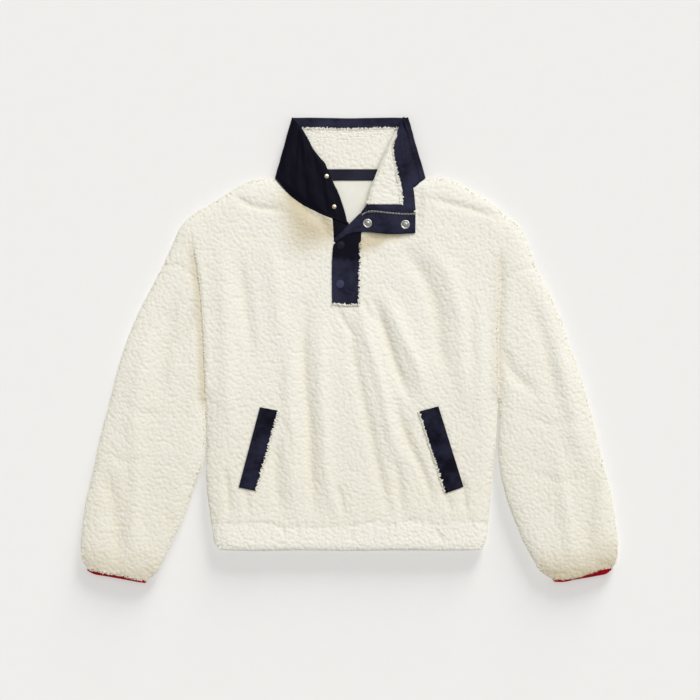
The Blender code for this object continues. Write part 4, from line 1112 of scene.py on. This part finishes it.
shellTree = treeOf(shell)
stripLines = [smoothAt(line, np.linspace(0, 7, int(64 / detail))) for line in (stripTop, stripTeeth)]
stripShare = np.linspace(0, 1, 12)[:, None]
stripFlat = stripLines[0] + stripShare[..., None] * (stripLines[1] - stripLines[0])
stripBase = np.array([[topAt(shellTree, x, y) for x, y in row] for row in stripFlat])
stripBase = np.maximum(stripBase, np.median(stripBase, axis=0) - 1.0)
stripBase = eveningOut(stripBase[..., None], 6)[..., 0] + 0.5
stripWave = 0.35 * grain(stripFlat[..., 0] / 11, stripFlat[..., 1] / 7, 9)
stripSwell = 2.3 * np.sin(math.pi * (0.06 + 0.9 * stripShare)) ** 0.45 + stripWave
stripUpper = withHeight(stripFlat, stripBase + stripSwell)
rightTape = meshPiece("zip_tape_cloth_right", [wallPart(stripUpper, withHeight(stripFlat, stripBase))], nylon,
                      ["zip_tape_right"])

# How thick the flap is, how far it lies above the cloth and above itself, and how deep it wrinkles.
flapForm = {"thickness": 1.7, "above": 1.8, "layerGap": 0.7, "wrinkles": 0.4}
layerStep = 9.0      # what turning over counts when rows are spread along the flap
# The storm flap: left end, right end, and 0 where it is closed, 1 where it is folded back over itself.
flapRows = [((-29, 76), (17.5, 74), 0), ((-29.5, 104.5), (17.5, 104.5), 0), ((-29.5, 133), (19, 133), 0),
            ((-28.5, 160), (19, 163), 0), ((-27, 173), (19.5, 190), 0), ((-23.5, 180), (21.5, 225), 0),
            ((-25.5, 182), (19.5, 227), 0.5), ((-23.5, 180), (21.5, 225), 1), ((0, 192.5), (33, 227.5), 1),
            ((20, 195.5), (49.5, 228.5), 1), ((66, 192), (76.5, 228.5), 1), ((110, 193.5), (110, 228.5), 1)]
flapCreases = [(0.55, 1.9, [(-10, 102.5), (-1, 98.5), (11, 93.5)]),
               (0.6, 1.7, [(-12, 96), (-6, 87.5), (-2.5, 77.5)]),
               (0.35, 2.2, [(-26, 121), (-11, 123), (4, 131)]),
               (0.3, 2.4, [(-6, 146.5), (6, 149.5), (16, 144.5)]), (0.35, 2.2, [(-21, 82.5), (-16, 92.5)]),
               (0.3, 2.2, [(58, 223.5), (63, 210), (61.5, 195)]),
               (0.4, 2.6, [(11, 218.5), (22.5, 207), (24.5, 196.5)]), (0.3, 2.0, [(81.5, 223.5), (78, 207)])]


def restingOn(flat, above):
    # the height of a cloth that lies on the front and bridges its small dips
    return eveningOut(frontHeight(flat.reshape(-1, 2)).reshape(*flat.shape[:2], 1), 4)[..., 0] + above


def creased(flat, creaseLines):
    # how deep sharp creases with a raised edge sink
    points, sunk = flat.reshape(-1, 2), np.zeros(flat.shape[0] * flat.shape[1])
    for depth, width, line in creaseLines:
        gap, share = nearest(points, smoothLine(line, 2.0), 4 * width)
        ends = np.clip(np.minimum(share, 1 - share) / 0.2, 0, 1)
        sunk += depth * ends * bell(gap, width)
        sunk -= 0.7 * depth * ends * bell(gap - 1.9 * width, width)
    return sunk.reshape(flat.shape[:2])


keys = np.array([[(*end, layerStep * layer) for end in (left, right)] for left, right, layer in flapRows])
ends = smoothAt(keys, placesAlong(keys, 1.6 * detail))
flapFlat = ends[:, :1] + np.linspace(0, 1, int(26 / detail))[None, :, None] * (ends[:, 1:] - ends[:, :1])
flapFlat, layer = flapFlat[..., :2], flapFlat[..., 2]
flapHeight = restingOn(flapFlat, flapForm["above"]) + flapForm["layerGap"] * layer / layerStep
flapFace = withHeight(flapFlat, flapHeight)
flapNormal = unit(eveningOut(gridNormals(flapFace), 1))
alongFlap, downFlap = clothPlaces(flapFace)
flapWrinkle = grain(alongFlap / 12, downFlap / 17, 8) + 0.5 * grain(alongFlap / 5, downFlap / 8, 10)
flapWrinkle = flapForm["wrinkles"] * flapWrinkle
flapWrinkle -= creased(flapFlat, flapCreases) * np.where(layer > layerStep / 2, -1, 1)
edgeRise = np.clip(np.minimum(alongFlap, alongFlap[0, -1] - alongFlap) / 1.6, 0, 1)
flapTop = flapFace + (flapWrinkle * np.clip(edgeRise + 0.3, 0, 1))[..., None] * flapNormal
thickHere = flapForm["thickness"] * (0.55 + 0.45 * np.sqrt(edgeRise))
flapBelow = flapTop - thickHere[..., None] * flapNormal
# painted shade on the closed flap below its folded part
underFold = np.clip((flapFlat[..., 1] - 144.5) / 20, 0, 1) * (layer < layerStep / 2)
flapWall = wallPart(flapTop, flapBelow, hollow=np.tile(underFold.ravel(), 2))
stormFlap = meshPiece("storm_flap_cloth", [flapWall], nylon, ["storm_flap"])

# The right teeth lie over the flap's top edge.
flapTree = treeOf(stormFlap)
onFlap = np.array([topAt(flapTree, x, y - 2.5) for x, y in stripUpper[-1, :, :2]])
rightZipLine = stripUpper[-1] + np.array([0, -0.6, -0.4])
rightZipLine[:, 2] = np.maximum(rightZipLine[:, 2], eveningOut(onFlap[:, None, None], 4)[:, 0, 0] + 0.5)
rightZipIn = unit(stripUpper[-3] - stripUpper[-1]) * np.array([1, 1, 0]) + np.array([0, 1e-4, 0])
rightZipUp = np.tile(np.array([0, 0, 1.0]), (len(rightZipLine), 1))
zipLines = {"left": (1.2, leftZipLine[3:] + 0.5 * leftZipUp[3:], leftZipIn[3:], leftZipUp[3:]),
            "right": (0.9, rightZipLine[2:], rightZipIn[2:], rightZipUp[2:])}
for side, (past, line, inward, up) in zipLines.items():
    made = zipTeeth(line - past * inward, inward, up)
    meshPiece(f"zip_teeth_{side}", [made], zipMetal)
print("zip made")


def patch(corners, across, along):
    # a grid of this many columns and rows between four corners, and the shares across and along it
    first, second, third, fourth = np.array(corners, float)
    u, v = np.linspace(0, 1, across)[None, :, None], np.linspace(0, 1, along)[:, None, None]
    flat = (1 - v) * ((1 - u) * first + u * second) + v * ((1 - u) * fourth + u * third)
    return flat, u[..., 0], v[..., 0]


def flatCloth(name, corners, replaced, height, thickness, material, waves, shade=0.0):
    # a flat strip between four corners at a height that a function gives
    lengths = [np.linalg.norm(np.subtract(corners[corner], corners[0])) for corner in (1, 3)]
    flat = patch(corners, *(max(4, int(length / 1.5 / detail)) for length in lengths))[0]
    low = height(flat) + waves * (grain(flat[..., 0] / 9, flat[..., 1] / 12, 9) + 0.4)
    lower, shades = withHeight(flat, low), np.full(2 * low.size, shade)
    wall = wallPart(lower + np.array([0, 0, thickness]), lower, pileDepth=shades, hollow=shades)
    return meshPiece(name, [wall], material, replaced)


# painted shade: the neck tape is darkened a little, and the placket under the flap and collar fully
neckTape = flatCloth("neck_tape_cloth", ((-33.5, 282.5), (41, 282.5), (48.5, 301.5), (-41, 301.5)),
                     ["neck_tape"], lambda flat: np.full(flat.shape[:2], 6.9), 0.8, innerNylon, 0.3)
placketUnder = flatCloth("placket_under_cloth", ((-25.5, 178.5), (1, 178.5), (-1.5, 212), (-27.5, 224.5)),
                         ["placket_under"], lambda flat: restingOn(flat, -3.9), 1.2, nylon, 0.4, 1.0)

# How far a welt lies above the cloth, how much prouder its outer edge is, how thick, wrinkled, long and wide
# it is.
weltForm = {"above": 0.9, "proud": 1.6, "thickness": 1.4, "wrinkles": 0.35, "long": 134, "wide": 28}
weltCorners = {"left": ((-155.5, -237), (-185, -231), (-149.5, -97), (-118, -103)),
               "right": ((160, -241), (190.5, -230), (148.5, -95.5), (115, -104.5))}
weltTops, welts = [], []
for side, corners in weltCorners.items():
    flat, u, v = patch(corners, int(22 / detail), int(84 / detail))
    along, down = u * weltForm["wide"], v * weltForm["long"]
    wave = weltForm["wrinkles"] * (grain(along / 15, down / 24, 8) + 0.6 * grain(along / 7 + 3, down / 9, 10))
    rise = weltForm["proud"] * u + wave
    bulge = 0.8 * np.sin(math.pi * u) ** 0.5
    lower = withHeight(flat, restingOn(flat, weltForm["above"]) + rise)
    upper = lower + np.array([0, 0, 1.0]) * (0.5 + (weltForm["thickness"] - 0.5) * bulge)[..., None]
    # painted shade on the welts, a little more on the right one
    dark = np.full(2 * rise.size, 0.2 if side == "left" else 0.3)
    weltTops.append(upper)
    wall = wallPart(upper, lower, pileDepth=dark, hollow=dark)
    welts.append(meshPiece(f"pocket_welt_cloth_{side}", [wall], nylon, [f"pocket_welt_{side}"]))
print("flap, tapes and welts made")

# The binding of each cuff, rolled over its raw edge.
bindings, bindingThickness = [], 1.2
cuffLines = {
    "left": ([(-439.5, -367.5), (-427.5, -371), (-411, -374.5), (-394, -377), (-377, -380), (-358.5, -385),
              (-339.5, -387.5)],
             [(-439, -372), (-429, -377), (-411, -380.5), (-394, -383.5), (-377, -386.5), (-358.5, -390),
              (-342.5, -392.5)]),
    "right": ([(439.5, -366.5), (427.5, -367.5), (414, -371), (397.5, -376.5), (379, -382.5), (358.5, -385),
               (340, -386)],
              [(439.5, -370), (431, -376.5), (416, -380), (397.5, -383.5), (379, -386.5), (358.5, -390.5),
               (344.5, -390.5)]),
}
for side, (top, bottom) in cuffLines.items():
    top, bottom = (smoothAt(line, np.linspace(0, len(line) - 1, int(56 / detail))) for line in (top, bottom))
    share = np.linspace(0, 1, 7)[:, None]
    # the strip runs up over the pile's edge, round the cuff's edge and back below it
    flat = top + share[..., None] * (bottom - top)
    points = flat.reshape(-1, 2)
    above = frontHeight(points).reshape(flat.shape[:2])
    below = backForm(points)[0].reshape(flat.shape[:2])
    middle, half = (above + below) / 2, (above - below) / 2
    reach = half * (0.12 + 0.88 * np.sqrt(1 - share ** 2))
    heights = np.concatenate([middle + reach, (middle - reach)[::-1]])
    ring = withHeight(np.concatenate([flat, flat[::-1]]), heights)
    ring[..., 2] += 0.25 * grain(ring[..., 0] / 9, ring[..., 2] / 9, 8)
    ring[..., 2] = np.maximum(ring[..., 2], 0.05)
    outward = gridNormals(ring)
    if outward[2, 10, 2] < 0:
        outward = -outward
    wall = wallPart(ring, ring - bindingThickness * outward)
    bindings.append(meshPiece(f"cuff_binding_cloth_{side}", [wall], redBinding,
                              [f"cuff_binding_{side}"]))


def turnedBody(outline, place, tilt, shades):
    # a body turned about its own axis, from (radius, height) points, with its shade at some radii
    angles = np.linspace(0, 2 * math.pi, int(40 / detail) + 1)[:-1]
    rings = np.array([[(radius * math.cos(a), radius * math.sin(a), height) for a in angles]
                      for radius, height in outline])
    turn = np.array(tilt.to_track_quat("Z", "Y").to_matrix())
    return {"points": (rings @ turn.T + place).reshape(-1, 3), "quads": gridFaces(*rings.shape[:2], True),
            "pileDepth": np.zeros(rings[..., 0].size),
            "hollow": np.repeat(np.interp(outline[:, 0], *shades), len(angles))}


# The snaps' outlines, as (radius, height) points.
capOutline = smoothLine([(6.9, 0), (7.0, 0.25), (6.9, 0.9), (6.45, 1.35), (6.1, 1.42), (5.75, 1.25),
                         (5.4, 1.2),
                         (4.0, 1.5), (2.0, 1.68), (0.02, 1.75)], 0.4)
socketOutline = smoothLine([(7.6, 0), (7.65, 0.35), (7.3, 1.0), (6.7, 1.4), (6.1, 1.45), (5.6, 1.2),
                            (5.3, 0.9),
                            (5.1, 0.8), (4.0, 0.85), (2.8, 0.95), (2.5, 1.1), (1.2, 1.15), (0.02, 1.2)], 0.35)
studOutline = smoothLine([(3.7, 0), (3.7, 0.4), (3.3, 0.8), (2.4, 1.0), (1.75, 1.3), (1.6, 1.9), (1.85, 2.4),
                          (1.5, 2.85), (0.8, 3.0), (0.02, 3.02)], 0.25)


def seat(tree, place, radius):
    # where a snap sits on the cloth below it, and how it tilts
    x, y = place
    east, west = topAt(tree, x + radius, y), topAt(tree, x - radius, y)
    north, south = topAt(tree, x, y + radius), topAt(tree, x, y - radius)
    middle = max(topAt(tree, x, y), (east + west + north + south) / 4)
    return np.array([x, y, middle + 0.1]), Vector((west - east, south - north, 2 * radius)).normalized()


snapSeats = {"cap": [seat(flapTree, place, 6.5) for place in ((-14.5, 174), (-15.5, 109))],
             "socket": [seat(flapTree, place, 7) for place in ((30, 210), (93, 208))],
             "stud": [seat(shellTree, place, 3.4) for place in ((-38, 289), (-25.5, 238))]}
unshaded = ((0, 1), (0.0, 0.0))
# painted shade: the socket is darker inside its rim
socketShade = ((0, 2.4, 2.9, 4.9, 5.3, 5.7), (0.45, 0.45, 0.5, 0.5, 0.75, 0.0))      # darker inside the rim
snapKinds = {"cap": (capOutline, (darkCap, capPlastic), unshaded, "snap_cap"),
             "socket": (socketOutline, (nickel, nickel), socketShade, "snap_metal"),
             "stud": (studOutline, (brass, brass), unshaded, "snap_metal")}
for kind, (outline, paints, shades, slotName) in snapKinds.items():
    for label, (place, tilt), paint in zip(("upper", "lower"), snapSeats[kind], paints):
        body = turnedBody(outline, place, tilt, shades)
        meshPiece(f"snap_{kind}_turned_{label}", [body], paint,
                               [f"snap_{kind}_{label}"])
print("snaps made")

stitchForm = {"length": 2.7, "gap": 1.1, "radius": 0.34}
# A stitch's rings: place along it, thickness, height.
stitchRings = ((-0.5, 0.45, -0.25), (-0.3, 1.0, 0.15), (0.0, 1.1, 0.25), (0.3, 1.0, 0.15), (0.5, 0.45, -0.25))


def stitches(line, normals):
    # a row of raised stitches along a line that lies on the cloth
    places = spreadAlong(line, stitchForm["length"] + stitchForm["gap"])
    ahead = unit(np.gradient(line, axis=0))
    starts, ways, ups = readAt(line, places), unit(readAt(ahead, places)), unit(readAt(normals, places))
    rings, sides = [], np.cross(ups, ways)
    for share, size, height in stitchRings:
        middles = starts + share * stitchForm["length"] * ways + height * ups
        rings.append(ringAround(middles, size * stitchForm["radius"], sides, ups, 6))
    caps = [(3, 2, 1, 0), (5, 4, 3, 0), (24, 25, 26, 27), (24, 27, 28, 29)]
    quads = [repeated(faces, len(places), 30) for faces in (gridFaces(5, 6, True), caps)]
    return {"points": np.stack(rings, axis=1).reshape(-1, 3), "quads": np.concatenate(quads)}


def stitchRow(grid, normals, rows, columns, count):
    # a row of stitches across a grid, from its first to its last row and column
    places = [np.linspace(*np.broadcast_to(ends, 2), count) for ends in (rows, columns)]
    stitchLines.append(gridLine(grid, normals, np.stack(places, -1)))


stitchLines = []
frontColumn, neckRow = column(0.55), face.shape[0] - 2.2
stitchRow(wrinkled, -inside, (2.2, face.shape[0] - 2), frontColumn, 60)
stitchRow(wrinkled, -inside, 2.2, (frontColumn, column(7.5)), 60)
stitchRow(wrinkled, -inside, neckRow, (column(0.6), column(5.2)), 70)
stitchRow(wrinkled, -inside, neckRow, (column(22.6), column(25)), 40)
stitchRow(facingTop, inside, 1.5, (column(11.5), column(31.6)), 160)
foldRow = int(np.argmax(layer[:, 0] > layerStep / 2))
flapRowCount, farLane = flapTop.shape[0], flapTop.shape[1] - 3.2
for lane in (2.2, farLane):
    stitchRow(flapTop, flapNormal, (1.5, foldRow - 2), lane, 70)
    stitchRow(flapBelow, -flapNormal, (foldRow + 3, flapRowCount - 3), lane, 70)
stitchRow(flapTop, flapNormal, 1.6, (2.2, farLane), 24)
stitchRow(flapBelow, -flapNormal, flapRowCount - 3.6, (2.2, farLane), 24)
for top in weltTops:
    normals = gridNormals(top)
    normals = normals * np.sign(normals[..., 2:])
    outer = top.shape[1] - 1 - 2.4 / detail
    stitchRow(top, normals, (2, top.shape[0] - 3), outer, 60)
    for end in (2.2, top.shape[0] - 3.2):
        stitchRow(top, normals, end, (1.5, outer), 20)
thread = meshPiece("topstitching", [stitches(*line) for line in stitchLines], threadPaint)
print("topstitching made")

lockForm = {"length": 3.4, "width": 0.85, "curl": 0.7, "stray": 0.28}
# A lock's rings: place along it, thickness, tone; the tone paints its root darker, as painted shade deep in
# the pile.
lockRings = ((0.0, 0.8, 0.55), (0.3, 1.0, 0.8), (0.68, 1.0, 1), (0.92, 0.7, 1), (1.02, 0.12, 1))
lockSides = 5


def locks(roots, ways, seed, size, shades=0.0):
    # small curled tapering locks of pile, one from each root
    luck = np.random.default_rng(seed)
    count = len(roots)
    ways = unit(ways + lockForm["stray"] * luck.normal(size=(count, 3)))
    aside = unit(np.cross(ways, luck.normal(size=(count, 3))))
    third = np.cross(ways, aside)
    length = size * lockForm["length"] * luck.uniform(0.6, 1.2, (count, 1))
    width = size * lockForm["width"] * luck.uniform(0.8, 1.35, (count, 1))
    curl = lockForm["curl"] * luck.uniform(0.4, 1.4, (count, 1))
    rings = []
    for share, thickness, tone in lockRings:
        middles = roots + length * (share * ways + curl * (share * share - 0.3 * share) * aside)
        rings.append(ringAround(middles, thickness * width, aside, third, lockSides))
    grid = np.stack(rings, axis=1)
    grid[..., 2] = np.maximum(grid[..., 2], 0.05)
    each = len(lockRings) * lockSides
    tones = np.tile(np.repeat([tone for share, thickness, tone in lockRings], lockSides), count)
    return {"points": grid.reshape(-1, 3),
            "quads": repeated(gridFaces(len(lockRings), lockSides, True), count, each),
            "pileDepth": np.repeat(luck.uniform(0.55, 1.0, count), each) * tones,
            "hollow": np.repeat(shades * np.ones(count), each)}


def rootsAlong(line, step, seed, jitter):
    # roots about a step apart along a line, the way the line runs at each, and the draws that follow
    luck = np.random.default_rng(seed)
    places = spreadAlong(line, step * detail)
    places = np.clip(places + luck.uniform(-0.4, 0.4, len(places)), 0, len(line) - 1)
    roots = readAt(line, places) + luck.uniform(-jitter, jitter, (len(places), line.shape[1]))
    return roots, readAt(np.gradient(line, axis=0), places), luck


# Round the silhouette: how far above and below the fold the locks stand, how far in from it their roots are
# at the fold, away from it and below it, how they lean up or down, and how large they are.
edgeForm = {"spread": 5.5, "inset": 2.0, "round": 2.8, "below": 1.8, "lean": 0.55, "size": 0.72}


def silhouetteLocks(line, seed):
    # locks that stand out from a side fold
    roots, ahead, luck = rootsAlong(smoothLine(line, 1.0), 1.05, seed, 0.4)
    away = unit(np.stack([ahead[:, 1], -ahead[:, 0]], -1))
    middle = len(roots) // 2
    if insideGarment(roots[middle] + 4 * away[middle]):
        away = -away
    level = luck.uniform(-1, 1, len(roots))
    inset = edgeForm["inset"] + edgeForm["round"] * level ** 2 + (level < 0) * edgeForm["below"]
    roots = withHeight(roots - inset[:, None] * away, bodyForm["foldHeight"] + edgeForm["spread"] * level)
    return locks(roots, withHeight(away, edgeForm["lean"] * level + 0.1), seed + 1, edgeForm["size"])


def surfaceLocks(line, step, seed, lean, lift, size, rise=0.55):
    # locks that stand on the front along a line and lean over it to one side
    roots, ahead, luck = rootsAlong(smoothLine(line, 1.0), step, seed, 0.9)
    away = lean * unit(np.stack([ahead[:, 1], -ahead[:, 0]], -1))
    roots = roots - 1.2 * away
    height, shades = frontForm(roots)
    ways = withHeight(away, np.full(len(roots), rise))
    return locks(withHeight(roots, height + lift), ways, seed + 1, size, shades)


bodyLocks = [silhouetteLocks(line, 40 + 3 * number) for number, line in
             enumerate((leftShoulder, rightShoulder, leftSide, rightSide))]
for number, (corners, lean) in enumerate(zip(weltCorners.values(), (1, -1))):
    bodyLocks.append(surfaceLocks([corners[3], corners[0]], 1.2, 70 + 3 * number, lean, 0.5, 1.25))
for number, corners in enumerate(weltCorners.values()):
    bodyLocks += [surfaceLocks(sorted(corners[2:]), 2.2, 80 + 3 * number, 1, 0.0, 0.6),
                  surfaceLocks(sorted(corners[:2]), 2.0, 90 + 3 * number, -1, 0.0, 0.75)]
# just inside the body's edge along each crease
creaseEdges = [[(x - side * 2.2, y) for x, y in line[::3]] for side, line, *shades in creases]
placketRight = [(18, 178.5), (18.5, 146.5), (17.5, 107.5), (16.5, 76)]
placketBottom = [(-30, 75), (-7.5, 73.5), (17, 73.5)]
bodyLocks += [surfaceLocks(placketRight, 1.1, 101, 1, 0.9, 1.25),
              surfaceLocks(placketBottom, 1.0, 104, -1, 0.9, 1.25, 0.7),
              surfaceLocks(creaseEdges[0], 1.1, 110, 1, -1.1, 0.8, 0.25),
              surfaceLocks(creaseEdges[1], 1.8, 113, -1, -1.3, 0.8, 0.25)]
frontLocks = meshPiece("fleece_front_locks", bodyLocks, fleece)
for side, seed, outer, inner, cuff in (
        ("left", 120, leftSleeveOuter, leftSleeveInner, cuffLines["left"][0]),
        ("right", 150, rightSleeveOuter, rightSleeveInner, cuffLines["right"][0][::-1])):
    parts = [silhouetteLocks(outer, seed), silhouetteLocks(inner, seed + 3),
             surfaceLocks(cuff, 1.2, seed + 9, 1, -0.2, 0.85, 0.2)]
    meshPiece(f"fleece_sleeve_locks_{side}", parts, fleece)
bandParts = [silhouetteLocks(line, 180 + 3 * number) for number, line in
             enumerate((hemLeft, hemRight, hemBottom, hemBottom[::-1]))]
bandLocks = meshPiece("fleece_hem_band_locks", bandParts, fleece)


def liningLocks(rowPlaces, columnPlaces, ways, seed, size, sink=0.6):
    # locks with their roots at places of the lining's grid
    places = np.stack(np.broadcast_arrays(rowPlaces, columnPlaces), -1)
    roots, ups = gridLine(liningGrid, liningUp, places)
    return locks(roots - sink * ups, ways(ups, roots), seed, size)


def leaning(sign, rise):
    # ways that lean to one side of a row of roots
    def way(ups, roots):
        return unit(sign * np.cross(ups, unit(np.gradient(roots, axis=0))) + rise * ups)
    return way


def outwards(ups, roots):
    return ups


lastRow, lastFine = liningGrid.shape[0] - 1.001, liningGrid.shape[1] - 1.001
rollRow = (bendRow - facingRows + 1) * ((liningGrid.shape[0] - 1) / (face.shape[0] - facingRows))
rollColumns = np.linspace(liningColumn(26.4), lastFine, int(60 / detail))
edgeColumns = np.linspace(0, lastFine, int(300 / detail))
coveredCorner = (edgeColumns >= liningColumn(16.6)) & (edgeColumns <= liningColumn(24.7))      # by the facing
edgeColumns = edgeColumns[~coveredCorner]
edgeLocks = [liningLocks(0.8, edgeColumns, leaning(1, 0.5), 201, 1.1),
             liningLocks(2.0, edgeColumns, leaning(1, 0.9), 203, 1.0)]
edgeLocks += [liningLocks(rollRow - back, rollColumns, outwards, seed, 0.75, 1.4)
              for back, seed in ((0, 205), (1.5, 207), (3.0, 209))]
rowsToRoll, allRows = np.linspace(1, rollRow, int(34 / detail)), np.linspace(1, lastRow, int(60 / detail))
edgeLocks += [liningLocks(rowsToRoll, lastFine - 0.5, leaning(-1, 0.4), 211, 0.9),
              liningLocks(allRows, 0.5, leaning(1, 0.4), 213, 0.8)]
liningEdge = meshPiece("collar_lining_locks", edgeLocks, fleece)
print("locks of pile made")

# The back's inner face, seen in the open neck.
flat, quads, triangles, rim = clippedGrid(backOutline, clothSteps["backInside"] * detail)
ripple = 0.5 * grain(flat[:, 0] / 19, flat[:, 1] / 90, 9) + 0.3 * grain(flat[:, 0] / 45, flat[:, 1] / 60, 8)
near = np.clip(foldDistance(flat, 16) / 12, 0, 1)
inner = {"points": withHeight(flat, 6.15 + ripple * near), "quads": quads, "triangles": triangles}
backInside = meshPiece("fleece_back_inside", [inner], backing)
# The camera's height, the width it shows there and the place below it, in metres.
view = {"height": 3.0, "shown": 1.176, "middle": (0.00084, -0.0015)}
camera = bpy.data.objects.new("camera", bpy.data.cameras.new("camera"))
camera.data.lens = camera.data.sensor_width * view["height"] / view["shown"]
camera.location = (*view["middle"], view["height"])
bpy.context.scene.collection.objects.link(camera)
bpy.context.scene.camera = camera

studio = {
    "sky": 0.42,          # even light from all round
    "key": 2.06,          # the light that draws the pile and the folds
    "keyWidth": 45,       # how wide it looks from the garment, in degrees
    "floor": 1.28,        # the floor's own light
    "low": 3.9,           # the low light that draws the long soft shadow
    "lowWidth": 20,
    "floorDark": (0.806, 0.800, 0.790, 1),
    "floorLight": (0.822, 0.816, 0.806, 1),
}


def sunFrom(name, direction, strength, width):
    sun = bpy.data.lights.new(name, "SUN")
    sun.energy, sun.angle, sun.color = strength, math.radians(width), (1, 0.995, 0.985)
    holder = bpy.data.objects.new(name, sun)
    holder.rotation_euler = Vector(direction).to_track_quat("Z", "Y").to_euler()
    bpy.context.scene.collection.objects.link(holder)
    return holder


world = bpy.data.worlds.new("studio")
world.use_nodes = True
sky = world.node_tree.nodes["Background"].inputs
sky["Color"].default_value, sky["Strength"].default_value = (1.0, 0.995, 0.985, 1), studio["sky"]
bpy.context.scene.world = world
floorPaint = Paint("studio_floor", Roughness=0.9, Specular_IOR_Level=0.1)
speckle = floorPaint.noise(floorPaint.place(), 40, 2)
floorPaint.finish(Base_Color=floorPaint.mix(speckle, studio["floorDark"], studio["floorLight"]))
floorMesh = bpy.data.meshes.new("studio_floor")
corners = [(x, y, -0.0004) for x, y in ((-6, -6), (6, -6), (6, 6), (-6, 6))]
floorMesh.from_pydata(corners, [], [(0, 1, 2, 3)])
floorMesh.materials.append(floorPaint.material)
studioFloor = bpy.data.objects.new("studio_floor", floorMesh)
bpy.context.scene.collection.objects.link(studioFloor)
floorOnly, clothOnly = bpy.data.collections.new("floor_only"), bpy.data.collections.new("cloth_only")
floorOnly.objects.link(studioFloor)
for piece in bpy.context.scene.collection.all_objects:
    if piece.type == "MESH" and piece is not studioFloor:
        clothOnly.objects.link(piece)
for light, receivers in (
    (sunFrom("key", (0.42, 0.70, 1), studio["key"], studio["keyWidth"]), clothOnly),
    (sunFrom("floor", (0, 0, 1), studio["floor"], 60), floorOnly),
    (sunFrom("low", (0.31, 0.95, 0.196), studio["low"], studio["lowWidth"]), floorOnly),
):
    light.light_linking.receiver_collection = receivers
# the floor's own light casts no shadow
bpy.data.objects["floor"].light_linking.blocker_collection = floorOnly
bpy.context.scene.view_settings.view_transform = "Standard"
print("camera, light and floor set")

bpy.context.view_layer.update()
